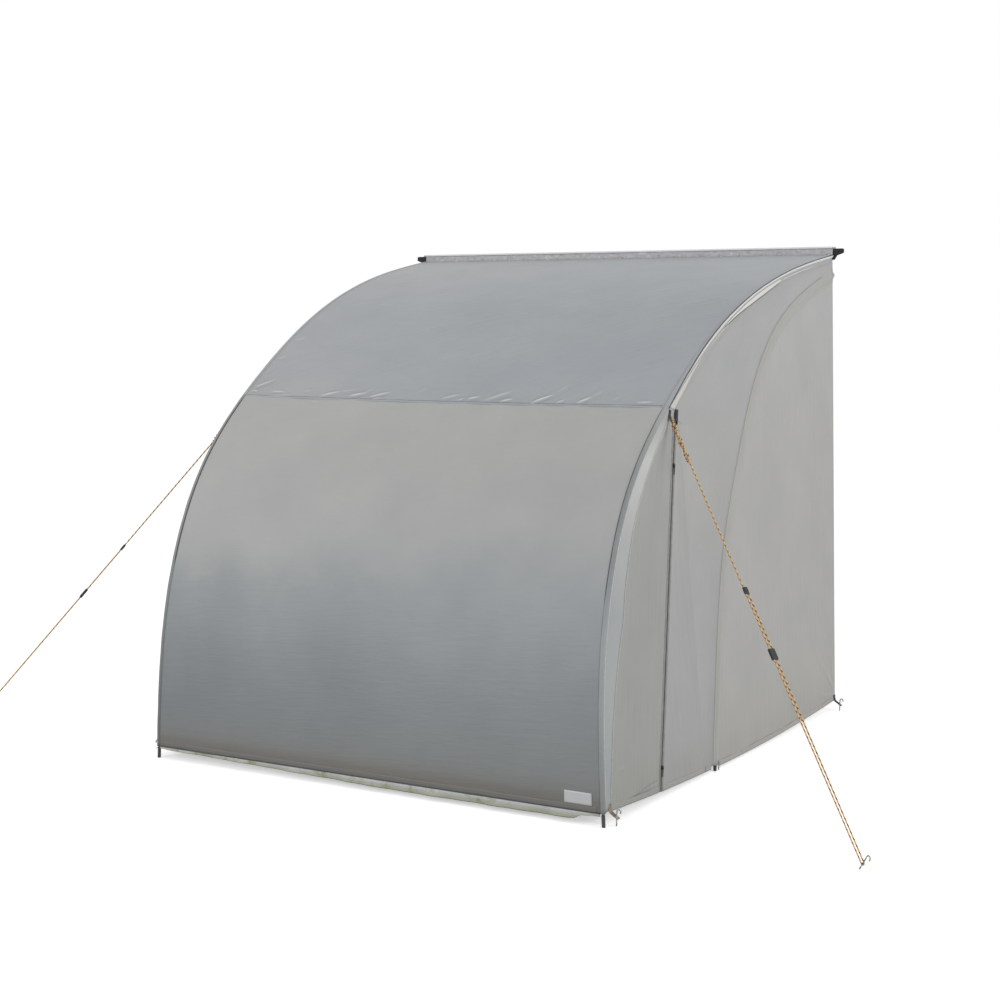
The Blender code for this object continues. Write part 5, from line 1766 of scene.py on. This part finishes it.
@dataclass
class PoleSleeves:
    """Sleeves of the front and middle poles, with their bands and piping."""

    band_cloth: float = 0.0015
    rows: int = 220
    arc: int = 26
    piping_radius: float = 0.0016
    band_lift: float = 0.0012
    lap_start: float = 228.0

    def build(self) -> None:
        """Makes the four sleeves."""
        for side in BOTH_SIDES:
            self.front_tube(side)
            self.front_band(side)
            self.mid_sleeve(side)

    @property
    def places(self) -> Array:
        """Lengths of the front sleeve's rows."""
        return np.linspace(SIZES.sleeve_start, HEM_PLACE, self.rows)

    def front_tube(self, side: Side) -> None:
        """Tube of cloth round the front pole.

        Args:
            side: Side of the tent.
        """
        places = self.places
        turn, place = np.meshgrid(np.linspace(0.0, TURN, self.arc, endpoint=False), places)
        wrinkle = 0.00035 * np.sin(place / 0.021 + 2.0 * np.sin(turn)) * np.sin(place / 0.083)
        reach = SIZES.sleeve_radius - 0.0005 + wrinkle
        grid = FRONT_POLES[side].offset_grid(places, np.cos(turn) * reach, np.sin(turn) * reach)
        Cloth(f"front_sleeve_{side.label}_tube", grid, TUBE_CLOTH, "sleeve_cloth", 0.0008,
              (TURN * SIZES.sleeve_radius, float(places[-1] - places[0])),
              [f"front_pole_{side.label}_section_2"], way=turned_on(side, Side.RIGHT), closed=True,
              offset=-1.0).show()

    def front_band(self, side: Side) -> None:
        """Flat band beside the front pole, piped along both edges.

        Args:
            side: Side of the tent.
        """
        pole, places = FRONT_POLES[side], self.places
        widths = band_width(places)
        start = SIZES.sleeve_radius * 0.72
        share, place = np.meshgrid(even(15), places)
        middle = np.sin(math.pi * share)
        foot = smooth_step((place - (places[-1] - 0.45)) / 0.3)
        crumple = 0.0012 * np.sin(place / 0.013 + 3.0 * share) * foot
        out = self.band_lift + (crumple + 0.0009 * np.sin(place / 0.11) + 0.0016) * middle
        length = float(places[-1] - places[0])
        Cloth(f"front_sleeve_{side.label}_cloth",
              pole.offset_grid(places, start + (widths[:, None] - start) * share, out), BAND_CLOTH,
              "sleeve_cloth", self.band_cloth, (float(widths.max()), length),
              [f"front_pole_{side.label}_section_3"], float(widths.mean()) * length,
              node=f"front_sleeve_{side.label}", way=turned_on(side, Side.LEFT)).show()
        self.lines(side)
        show_stitches(f"front_sleeve_{side.label}_stitches",
                      pole.offset(places, widths - 0.0075, self.band_lift + 0.0022), pole.normal, SEWING_THREAD)

    def lines(self, side: Side) -> None:
        """Pale binding above the cross seam, piping below it, and dark cords beside them that paint the shade of
        their grooves.

        Args:
            side: Side of the tent.
        """
        self.roof_lap(side)
        lift, piping = self.band_lift, self.piping_radius
        # The groove pieces are dark cords that paint the shade in the grooves beside the band
        # Name, first and last place along the pole, distance from its line in the wall, distance out, radius
        for name, start, end, inward, out, radius, finish in (
                ("front_groove", SEAM_PLACE + 0.01, SEAM_PLACE + 0.82, lambda at: -0.0068, -0.0052, 0.0019,
                 PAINTED_SHADE_CORD),
                ("binding_upper", 0.03, 0.66, lambda at: 0.0200, lift + 0.0016, 0.0014, BINDING_CLOTH),
                ("binding_lower", 1.20, 1.66, lambda at: 0.0200, lift + 0.0016, 0.0012, BINDING_CLOTH),
                ("lens_groove", 0.66, 1.30, lambda at: 0.0150 + np.interp(at, LENS_PLACES, LENS_WIDTHS),
                 lift + 0.0016, 0.0017, PAINTED_SHADE_CORD),
                ("piping_inner", SEAM_PLACE + 0.012, HEM_PLACE, lambda at: band_width(at) - 0.0014,
                 lift + 0.0014, piping, PIPING),
                ("piping_outer", SEAM_PLACE + 0.45, HEM_PLACE, lambda at: 0.0140, lift + 0.0018, piping * 1.5,
                 PIPING),
                ("inner_groove", SEAM_PLACE + 0.80, HEM_PLACE, lambda at: band_width(at) + 0.0022, 0.0004,
                 0.0014, PAINTED_SHADE_CORD)):
            places = np.linspace(start, end, max(24, int((end - start) / 0.012)))
            show_tube(f"front_sleeve_{side.label}_{name}", FRONT_POLES[side].offset(places, inward(places), out),
                      radius, 8, finish, ends_taper)
        for name, start, end in (("binding_high", 0.66, 1.28), ("binding_low", 1.54, SEAM_PLACE - 0.022)):
            self.lens(side, name, start, end)

    def roof_lap(self, side: Side) -> None:
        """Edge of the roof's cloth that is sewn on over the sleeve, with a dark cord along it that paints the
        groove's shade.

        Args:
            side: Side of the tent.
        """
        places = np.linspace(SIZES.sleeve_start + 0.004, SEAM_PLACE, 150)
        start = math.radians(self.lap_start)
        ends = np.radians(np.interp(places, LAP_PLACES, LAP_TURNS))
        turns = start + (ends[:, None] - start) * even(9)
        reach = SIZES.sleeve_radius + 0.0004
        grid = FRONT_POLES[side].offset_grid(places, np.cos(turns) * reach, np.sin(turns) * reach)
        length = float(places[-1] - places[0])
        Cloth(f"front_sleeve_{side.label}_roof_lap", grid, ROOF_CLOTH, "roof_cloth", 0.0006,
              (reach * float(np.max(start - ends)), length), [f"front_sleeve_{side.label}_tube"],
              reach * float(np.mean(start - ends)) * length, way=turned_on(side, Side.LEFT)).show()
        if side is Side.RIGHT:
            show_tube(f"front_sleeve_{side.label}_roof_groove", grid[:, -1, :], 0.0024, 8, PAINTED_SHADE_CORD)

    def lens(self, side: Side, name: str, start: float, end: float) -> None:
        """Part of the pale binding that shows wide beside the sleeve, between two places along the pole.

        Args:
            side: Side of the tent.
            name: Last part of the piece's name.
            start: Length along the pole where it starts.
            end: Length along the pole where it ends.
        """
        pole = FRONT_POLES[side]
        places = np.linspace(start, end, 70)
        widths = np.interp(places, LENS_PLACES, LENS_WIDTHS)
        line = pole.offset(places, 0.0125 + widths / 2.0, self.band_lift + 0.0026)
        Cloth(f"front_sleeve_{side.label}_{name}",
              ribbon_grid(line, pole.inward(places), widths, 5, pole.normal, 0.0010), BINDING_CLOTH,
              "sleeve_cloth", 0.0007, (float(widths.max()), end - start), [f"front_sleeve_{side.label}_cloth"],
              float(widths.mean()) * (end - start), way=turned_on(side, Side.LEFT)).show()

    def mid_sleeve(self, side: Side) -> None:
        """Sleeve of the middle pole: the wall's cloth rises softly over the pole, with a tube behind.

        Args:
            side: Side of the tent.
        """
        pole, half = MID_POLES[side], SIZES.mid_band
        places = np.linspace(SIZES.sleeve_start, pole.hem_length, self.rows)
        outer = np.linspace(-1.0, 1.0, 31)
        rise = (SIZES.sleeve_radius - 0.0006) * np.exp(-(np.abs(outer) * half / 0.0112) ** 2) + 0.0006
        inward, out = (np.broadcast_to(np.concatenate(two), (self.rows, 62))
                       for two in ((outer * half, outer[::-1] * half), (rise, -rise[::-1])))
        grid = pole.offset_grid(places, inward, out)
        grid[0] = back_to_rear(grid[0], pole.ways[0])
        name = f"mid_sleeve_{side.label}"
        Cloth(f"{name}_cloth", grid, MID_BAND_CLOTH, "sleeve_cloth", 0.0006,
              (4.3 * half, float(places[-1] - places[0])), [f"mid_pole_{side.label}_section_2"], node=name,
              way=turned_on(side, Side.LEFT), closed=True, offset=-1.0).show()
        for label, inset in (("rear", half - 0.004), ("front", -half + 0.004)):
            show_stitches(f"{name}_stitches_{label}", pole.offset(places, inset, 0.0012), pole.normal,
                          SEWING_THREAD)
        # Dark cord along the sleeve's front edge: painted shade of the seam's groove
        show_tube(f"{name}_edge", pole.offset(places[8:], -half + 0.006, 0.0008), 0.0022, 6, MID_EDGE_SHADE_CORD)


# Folds that run together at the rear corner's tab, and across the foot of the strip
REAR_CREASES = creases((20, 1985, 105, 1890, 30, 75), (18, 1960, 45, 1800, 26, 75),
                       (40, 2015, 200, 1985, 24, 80), (60, 1930, 260, 1760, 16, 140))
STRIP_CREASES = creases((3, 1292, 190, 1325, -42, 50), (20, 1312, 260, 1334, -40, 50),
                        (10, 1303, 210, 1329, 28, 60), (250, 1215, 350, 1225, 18, 80))


@dataclass
class SideWalls:
    """Cloth of the two side walls, apart from the door."""

    thickness: float = 0.0012
    sag: float = 0.012
    columns: int = 90
    rows: int = 260
    hem_width: float = 0.020
    # Distance of the hems from a middle sleeve and from the front corner
    sleeve_gap: float = 0.036
    corner_gap: float = 0.05

    def panel(self, name: str, side: Side, rear: Array, front: Array, finish: Finish, seed: int,
              folds: Sequence[Crease] = (), sag: float = 0.012) -> None:
        """Cloth between a rear and a front edge.

        Args:
            name: Name of the CAD node that it stands for.
            side: Side of the tent.
            rear: Points of its rear edge, from the top.
            front: Points of its front edge, from the top.
            finish: Its finish.
            seed: Seed of its small waves.
            folds: Sharp folds, across from the rear edge and down from the top.
            sag: Depth of its hollow.
        """
        shares = even(self.columns * (2 if folds else 1) + 1)
        down = lengths_along((rear + front) / 2.0)
        widths = np.linalg.norm(front - rear, axis=1)[:, None]
        share, down_grid = np.meshgrid(shares, down)
        across = share * widths
        edge = np.clip(np.minimum(across, widths - across) / 0.03, 0.0, 1.0)
        held = edge * np.clip(down_grid / 0.05, 0.0, 1.0)
        marks = creased(folds, across, down_grid) * held
        flutes = ripples(across, down_grid, seed, [(0.055, 0.9), (0.031, 0.6), (0.09, 1.3)], 0.0006)
        waves = ripples(across, down_grid, seed + 5, [(0.4, 0.6), (0.27, 0.34)], 0.0015)
        hollow = np.sin(math.pi * down_grid / down[-1]) * np.sin(math.pi * share)
        height = (flutes + waves) * held - sag * hollow + marks
        grid = spanned(rear, front, shares) + wall_normal(side) * height[..., None]
        looks_out = np.cross(front[0] - rear[0], rear[-1] - rear[0]).dot(wall_normal(side)) > 0.0
        Cloth(f"{name}_cloth", grid, finish, "wall_cloth", self.thickness, (float(widths.max()), float(down[-1])),
              [f"mid_sleeve_{side.label}_cloth"], float(np.mean(widths) * down[-1]), node=name,
              way=Way.AS_WOUND if looks_out else Way.TURNED, places=np.stack([across, down_grid], axis=2),
              marks=marks).show()

    def hem(self, name: str, side: Side, start: float, end: float, finish: Finish, body: str = "tent") -> None:
        """Turned hem along the foot of a wall.

        Args:
            name: Name of the piece.
            side: Side of the tent.
            start: Place of its rear end, forward of the rail.
            end: Place of its front end.
            finish: Its finish.
            body: CAD body that carries it.
        """
        forward = np.linspace(start, end, 90)
        line = on_wall(side, np.stack([forward, hem_height(forward) + self.hem_width / 2.0], axis=1), 0.0010)
        normal = wall_normal(side)
        across = unit(np.cross(unit(np.gradient(line, axis=0)), normal))
        Cloth(name, ribbon_grid(line, across, self.hem_width, 5, normal, 0.0006), finish, "wall_cloth", 0.0010,
              (self.hem_width, full_length(line)), ["ground"], body=body, way=turned_on(side, Side.LEFT)).show()
        upper = line + across * (0.0075 * np.sign(across[:, 2]))[:, None] + normal * 0.0008
        show_stitches(f"{name}_stitches", upper, normal, SEWING_THREAD, body)

    def build(self) -> None:
        """Makes the five wall panels and their hems."""
        stations = np.linspace(0.0, SIZES.rows, self.rows)
        ahead, corner = SIZES.mid_depth + self.sleeve_gap, SIZES.roof_depth - self.corner_gap
        for side in BOTH_SIDES:
            name = f"rear_wall_{side.label}"
            front = mid_edge(side, stations, True)
            top = back_to_rear(front[0], MID_POLES[side].ways[0])
            foot = on_wall(side, np.array([SIZES.rear_inset, float(hem_height(0.0))]))
            rear = top + (foot - top) * even(self.rows)[:, None]
            self.panel(name, side, rear, front, WALL_CLOTH, 3 + side.value,
                       REAR_CREASES if side is Side.RIGHT else ())
            self.hem(f"{name}_hem", side, 0.003, SIZES.mid_depth - self.sleeve_gap, WALL_CLOTH)
        self.panel("front_wall_left", Side.LEFT, *self.between_sleeves(Side.LEFT, stations), WALL_CLOTH, 9)
        self.hem("front_wall_left_hem", Side.LEFT, ahead, corner, WALL_CLOTH)
        self.right_mid_wall()
        self.hem("mid_wall_right_hem", Side.RIGHT, ahead, SIZES.fold_foot - 0.002, MID_CLOTH)
        self.right_strip()
        self.hem("front_strip_right_hem", Side.RIGHT, SIZES.zip_foot + ZIP.tape_edge + 0.001, corner, STRIP_CLOTH)

    def between_sleeves(self, side: Side, stations: Array) -> tuple[Array, Array]:
        """Edges of the cloth between the two sleeves, from the rear edge down.

        Args:
            side: Side of the tent.
            stations: Rows of the CAD cloth.

        Returns:
            Points of the rear edge, and of the front edge.
        """
        rear, front = mid_edge(side, stations, False), front_edge(side, stations)
        return (np.concatenate([back_to_rear(rear[:1], MID_POLES[side].ways[0]), rear]),
                np.concatenate([back_to_rear(front[:1], FRONT_POLES[side].ways[0]), front]))

    def right_mid_wall(self) -> None:
        """Right wall between the middle sleeve and the door."""
        rear_above, front_above = self.between_sleeves(Side.RIGHT, np.linspace(0.0, ZIP.split, 100))
        step = np.linspace(ZIP.split, ZIP.split + 1, 14)[1:]
        below = np.linspace(ZIP.split + 1, SIZES.rows, 110)[1:]
        shares = (step - ZIP.split)[:, None]
        fold_top = on_wall(Side.RIGHT, ZIP.fold(0.0, SIZES.seam_gap))[0]
        fold_shares = (below - ZIP.split - 1) / (SIZES.rows - ZIP.split - 1)
        rear = np.concatenate([rear_above, mid_edge(Side.RIGHT, step, False), mid_edge(Side.RIGHT, below, False)])
        front = np.concatenate([front_above, front_above[-1] * (1.0 - shares) + fold_top * shares,
                                on_wall(Side.RIGHT, ZIP.fold(fold_shares, SIZES.seam_gap))])
        self.panel("mid_wall_right", Side.RIGHT, rear, front, MID_CLOTH, 14)

    def right_strip(self) -> None:
        """Strip of wall between the zip and the front sleeve."""
        stations = np.linspace(ZIP.split, SIZES.rows, 280)
        shares = (stations - ZIP.split) / (SIZES.rows - ZIP.split)
        rear = on_wall(Side.RIGHT, ZIP.place(shares, -(ZIP.tape_edge + SIZES.seam_gap)))
        rear[0] = rear[0] + (rear[1] - rear[0]) * 0.03
        self.panel("front_strip_right", Side.RIGHT, rear, front_edge(Side.RIGHT, stations), STRIP_CLOTH, 21,
                   STRIP_CREASES, self.sag / 2.0)


@dataclass
class DoorAndZip:
    """Door flap, the zip's tapes and coils, and the metal on them."""

    walls: SideWalls
    thickness: float = 0.0012
    sag: float = 0.006
    # Width of a zip tape with the part that is sewn on, and its middle from the zip's line
    tape_width: float = 0.018
    tape_middle: float = 0.00875
    tooth_pitch: float = 0.0032
    fold_reach: float = 0.012

    def build(self) -> None:
        """Makes the door and the zip."""
        self.door()
        for name, way, body in (("front", -1.0, "tent"), ("door", 1.0, "door")):
            self.tape(name, way, body)
            self.coil(name, way, body)
        self.end_patch()
        for name in ("lower", "upper"):
            for part in ("slider", "pull"):
                dress(f"zip_{part}_{name}", ZIP_METAL)

    def door(self) -> None:
        """Door flap, whose cloth spans from its fold line to the zip."""
        shares = even(150)
        columns = np.concatenate([np.linspace(0.0, 0.12, 10), np.linspace(0.12, 1.0, 36)[1:]])
        rear = on_wall(Side.RIGHT, ZIP.fold(shares))
        front = on_wall(Side.RIGHT, ZIP.place(shares, ZIP.tape_edge + SIZES.seam_gap))
        normal = wall_normal(Side.RIGHT)
        share, down_share = np.meshgrid(columns, shares)
        widths = np.linalg.norm(front - rear, axis=1)[:, None]
        down, across = down_share * ZIP.length, share * widths
        held = np.clip(np.minimum(across, widths - across) / 0.03, 0.0, 1.0)
        height = (ripples(across, down, 31, [(0.06, 0.8), (0.035, 0.5)], 0.0006) * held
                  - self.sag * np.sin(math.pi * down_share) * np.sin(math.pi * share))
        cloth = Cloth("door_cloth", spanned(rear, front, columns) + normal * height[..., None], MID_CLOTH,
                      "wall_cloth", self.thickness, (float(widths.max()), ZIP.length), ["mid_wall_right_cloth"],
                      float(widths.mean()) * ZIP.length, "hung", "door_flap", way=Way.TURNED,
                      places=np.stack([across, down], axis=2))
        made = linked(cloth.name, cloth.mesh())
        made.data.materials.append(cloth.finish.material())
        ends = on_wall(Side.RIGHT, ZIP.fold(np.array([0.0, 0.5, 1.0])))
        forward = unit(np.cross(ends[2] - ends[0], normal))
        forward = forward * -np.sign(forward[1])
        cloth.hang(made)
        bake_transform(made)
        LOG.info("%s: %d faces", made.name, len(made.data.polygons))
        self.walls.hem("door_hem", Side.RIGHT, SIZES.fold_foot + 0.014, SIZES.zip_foot - ZIP.tape_edge - 0.001,
                       MID_CLOTH, "door")

    def tape(self, name: str, way: float, body: str) -> None:
        """Woven tape of the zip, on the wall or on the door, and its seam.

        Args:
            name: "front" or "door".
            way: -1 on the wall's side of the zip, 1 on the door's.
            body: CAD body that carries it.
        """
        shares = even(200)
        rearward, out = ZIP.axes()[1:]
        line = on_wall(Side.RIGHT, ZIP.place(shares, way * self.tape_middle), 0.0003)
        grid = ribbon_grid(line, rearward, self.tape_width, 5, out, 0.0001)
        grid = grid + out * (0.0001 * np.sin(shares * 90.0))[:, None, None]
        Cloth(f"zip_tape_{name}_cloth", grid, ZIP_TAPE, "zip_tape", 0.0008, (self.tape_width, ZIP.length),
              ["door_cloth" if body == "door" else "front_strip_right_cloth"], node=f"zip_tape_{name}",
              body=body).show()
        seam = on_wall(Side.RIGHT, ZIP.place(shares, way * (self.tape_middle + 0.005)), 0.0016)
        show_stitches(f"zip_tape_{name}_stitches", seam, out, SEWING_THREAD, body)

    def coil(self, name: str, way: float, body: str) -> None:
        """Nylon coil on the inner edge of a tape, wound as the teeth are.

        Args:
            name: "front" or "door".
            way: -1 on the wall's side of the zip, 1 on the door's.
            body: CAD body that carries it.
        """
        rearward, out = ZIP.axes()[1:]
        count = int(ZIP.length / self.tooth_pitch)
        turn = np.linspace(0.0, TURN * count, count * 8)
        line = (on_wall(Side.RIGHT, ZIP.place(turn / turn[-1] * 0.998 + 0.001, way * 0.0013), 0.0014)
                + rearward * (0.0011 * np.cos(turn))[:, None] + out * (0.0011 * np.sin(turn) * way)[:, None])
        show_tube(f"zip_coil_{name}", line, 0.00048, 5, ZIP_COIL, caps=False, body=body)

    def end_patch(self) -> None:
        """Black webbing sewn over the upper end of the zip, wide above it and narrow beside the slider's way."""
        up, rearward, out = ZIP.axes()
        rises = np.linspace(-0.017, 0.036, 22)
        wide = rises > 0.002
        line = (on_wall(Side.RIGHT, ZIP.place(0.0), 0.0042)[0] + up * rises[:, None]
                - rearward * np.where(wide, 0.005, 0.012)[:, None])
        grid = ribbon_grid(line, rearward, np.where(wide, 0.024, 0.010), 9, out, 0.0012)
        thicken(show(grid_mesh("zip_end_patch", grid), BLACK_WEBBING), 0.0014)


@dataclass
class RailEdge:
    """Keder strip with its bead, and the webbing at the ends of the rail."""

    bead_d: float = 0.007
    bead_ease: float = 0.0004
    cloth: float = 0.001
    columns: int = 420
    tab_reach: float = 0.052
    tab_drop: float = 0.050

    @property
    def radius(self) -> float:
        """Outer radius of the strip round its bead."""
        return self.bead_d / 2.0 + self.bead_ease + self.cloth

    def build(self) -> None:
        """Makes the strip, dresses the bead and adds both end tabs."""
        dress("keder_bead", KEDER_VINYL)
        self.strip()
        for side in BOTH_SIDES:
            self.end_tab(side)

    def strip(self) -> None:
        """Strip wrapped round the bead, gathered below it where it is sewn to the roof."""
        drop = SIZES.rail_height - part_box("keder_strip")[0].z
        turns = np.linspace(math.radians(-75.0), math.radians(250.0), 22)
        skirt = np.linspace(self.radius * 1.15, drop + 0.004, 12)
        back = np.concatenate([-np.sin(turns) * self.radius, np.full(12, -self.radius * 0.45)])
        rise = np.concatenate([np.cos(turns) * self.radius, -skirt])
        xs = np.linspace(-SIZES.rail_width / 2.0, SIZES.rail_width / 2.0, self.columns)[:, None]
        chance = np.random.default_rng(5)
        wave = np.zeros_like(xs)
        for length in (0.045, 0.031, 0.083, 0.017):
            wave += np.sin(TURN * xs / length + chance.uniform(0, 6.28)) * chance.uniform(0.5, 1.0)
        below = np.clip(-rise / drop, 0.0, 1.0)
        grid = np.stack([xs + 0.0 * rise, REAR_Y - self.radius + back - np.abs(wave) * 0.0022 * below,
                         SIZES.rail_height + rise + wave * 0.0013 * below], axis=2)
        Cloth("keder_strip_cloth", grid, KEDER_WRAP, "keder_cloth", 0.0008,
              (full_length(grid[0]), SIZES.rail_width), ["keder_bead"], held="gathered", node="keder_strip").show()
        show_stitches("keder_stitches", grid[:, -3, :] - np.array([0.0, 0.0012, 0.0]),
                      np.array([0.0, -1.0, 0.3]), SEWING_THREAD)

    def end_tab(self, side: Side) -> None:
        """Black webbing at an end of the rail, cut narrower towards its foot.

        Args:
            side: Side of the tent.
        """
        drop = even(14)[:, None]
        reach = np.interp(drop, [0.0, 0.08, 0.4, 0.6, 1.0], [0.9, 1.0, 1.0, 0.45, 0.22])
        shares = even(8)
        below = self.bead_d / 2.0 + SIZES.seam_gap + self.tab_drop * drop
        grid = np.stack([side.value * (SIZES.rail_width / 2.0 + SIZES.seam_gap + self.tab_reach * reach * shares),
                         REAR_Y - self.bead_d / 2.0 - 0.0008 - 0.0012 * np.sin(math.pi * shares) + 0.0 * drop,
                         SIZES.rail_height - below + 0.0 * shares], axis=2)
        name = f"rail_end_tab_{side.label}"
        Cloth(f"{name}_webbing", grid, BLACK_WEBBING, "webbing", 0.0014, (self.tab_reach, self.tab_drop),
              ["keder_bead"], 0.66 * self.tab_reach * self.tab_drop, "hung", name,
              way=turned_on(side, Side.RIGHT)).show()


@dataclass
class MudFlap:
    """Vinyl flap below the front hem, wavy and stained."""

    drop: float = 0.030
    columns: int = 400
    # Depth by share of the hem's width: shallow at the left, with a rounded notch before the right corner
    shares: tuple[float, ...] = (0.0, 0.03, 0.12, 0.35, 0.55, 0.935, 0.95, 0.962, 0.985, 1.0)
    depths: tuple[float, ...] = (0.008, 0.012, 0.014, 0.022, 0.029, 0.030, 0.027, 0.014, 0.010, 0.011)

    def build(self, panels: RoofAndFront) -> None:
        """Makes the flap along the hem of the front panel.

        Args:
            panels: The cloth whose hem carries the flap.
        """
        across = even(self.columns)
        ends = [FRONT_POLES[side].offset(HEM_PLACE, -panels.lift, -0.0079) for side in BOTH_SIDES]
        top = spanned(*ends, across)[0] + UP * 0.002
        depth = np.interp(across, self.shares, self.depths)
        wave = 0.0022 * np.sin(across * 41.0) + 0.0016 * np.sin(across * 97.0 + 1.0)
        down = even(9)[:, None]
        grid = np.broadcast_to(top, (9, *top.shape)).copy()
        grid[..., 1] -= (wave + 0.002) * down
        grid[..., 2] = np.maximum(grid[..., 2] - depth * down, 0.0015)
        wide = full_length(top)
        places = np.stack(np.broadcast_arrays(across * 1.8, down * self.drop), axis=2)
        Cloth("mud_flap_vinyl", grid, MUD_VINYL, "mud_flap_cloth", 0.0010, (wide, self.drop), ["front_cloth"],
              float(depth.mean()) * wide, "hung", "front_mud_flap", way=Way.TURNED, places=places).show()
        # Dark cord along the flap's top: painted shadow under the hem's edge
        show_tube("mud_flap_seam", top + np.array([0.0, -0.0030, -0.0005]), 0.0018, 6, PAINTED_SHADE_CORD)


@dataclass
class CornerTab:
    """Eyelet tab above the hem at one corner, with its peg."""

    name: str
    side: Side
    forward: float
    finish: Finish
    width: float = 0.022
    sewn: float = 0.024
    reach: float = 0.026
    drop: float = 0.016
    tip: float = 0.009
    stands_out: float = 0.0026
    # Width and height of the sewn box, and the pitch of its stitches
    box: Pair = (0.017, 0.013)
    stitch_pitch: float = 0.0042

    def build(self) -> None:
        """Makes the webbing, its stitches and its eyelet, and dresses the peg."""
        label, peg = (f"{self.name}_{part}_{self.side.label}" for part in ("tab", "peg"))
        normal = wall_normal(self.side)
        width_way = unit(np.cross(normal, UP))
        sewn, hem = on_wall(self.side, np.array([(self.forward, SIZES.hem_corner + self.sewn),
                                                 (self.forward, SIZES.hem_corner)]), self.stands_out)
        hole = hem + np.cross(UP, width_way) * self.reach - UP * self.drop
        out = unit(hole - hem)
        line = rounded(np.array([sewn, hem, hole, hole + out * self.tip]), 0.010, 30)
        Cloth(f"{label}_webbing", ribbon_grid(line, width_way, self.width, 9), self.finish, "webbing", 0.0016,
              (self.width, full_length(line)), [peg], node=label, way=Way.TURNED).show()
        show_eyelet(f"{label}_eyelet", hole, np.cross(out, width_way), 0.0030, 0.0026, 0.0013)
        corners = [sewn - UP * (0.004 + self.box[1] * down) + width_way * (self.box[0] * across)
                   for across, down in ((-0.5, 0), (0.5, 0), (0.5, 1), (-0.5, 1), (-0.5, 0), (0.5, 1))]
        show_stitches(f"{label}_stitches", resample(np.array(corners), 60) + normal * 0.0009, normal,
                      SEWING_THREAD, pitch=self.stitch_pitch)
        dress(peg, PEG_STEEL)


@dataclass
class PolesAndPegs:
    """Pole sections, middle pegs and guy pegs, which stay as the CAD made them."""

    sections: tuple[str, ...] = ("1", "2", "3", "4", "foot")

    def build(self) -> None:
        """Gives the poles and pegs their finishes and adds the middle eyelets."""
        for side in BOTH_SIDES:
            for pole in ("front", "mid"):
                for part in self.sections:
                    if (pole, part) != ("mid", "4"):
                        dress(f"{pole}_pole_{side.label}_section_{part}", POLE_FIBRE)
            for node, finish in (("mid_peg", PEG_STEEL), ("guy_peg", PEG_STEEL), ("guy_runner", BLACK_NYLON)):
                dress(f"{node}_{side.label}", finish)
            self.mid_eyelet(side)

    def mid_eyelet(self, side: Side) -> None:
        """Pressed eyelet in the middle sleeve's band, which the peg hooks through.

        Args:
            side: Side of the tent.
        """
        pole = MID_POLES[side]
        place = float(np.interp(-0.034, -pole.points[:, 2], pole.lengths))
        show_eyelet(f"mid_eyelet_{side.label}", pole.offset(place, 0.0195)[0], wall_normal(side), 0.0031, 0.0028,
                    0.0016)


def main() -> None:
    """Builds the looks of the tent, piece by piece."""
    logging.basicConfig(level=logging.INFO, format="%(name)s: %(message)s")
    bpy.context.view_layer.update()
    Studio().build()
    GuyRope(Side.RIGHT, peg_ahead=0.019).build()
    GuyRope(Side.LEFT, peg_ahead=0.140).build()
    panels = RoofAndFront()
    panels.build()
    PoleSleeves().build()
    walls = SideWalls()
    walls.build()
    DoorAndZip(walls).build()
    RailEdge().build()
    MudFlap().build(panels)
    for side in BOTH_SIDES:
        CornerTab("rear", side, 0.013, BLACK_WEBBING).build()
        CornerTab("front", side, SIZES.roof_depth - 0.040, SOILED_WEBBING).build()
    PolesAndPegs().build()


if __name__ == "__main__":
    main()
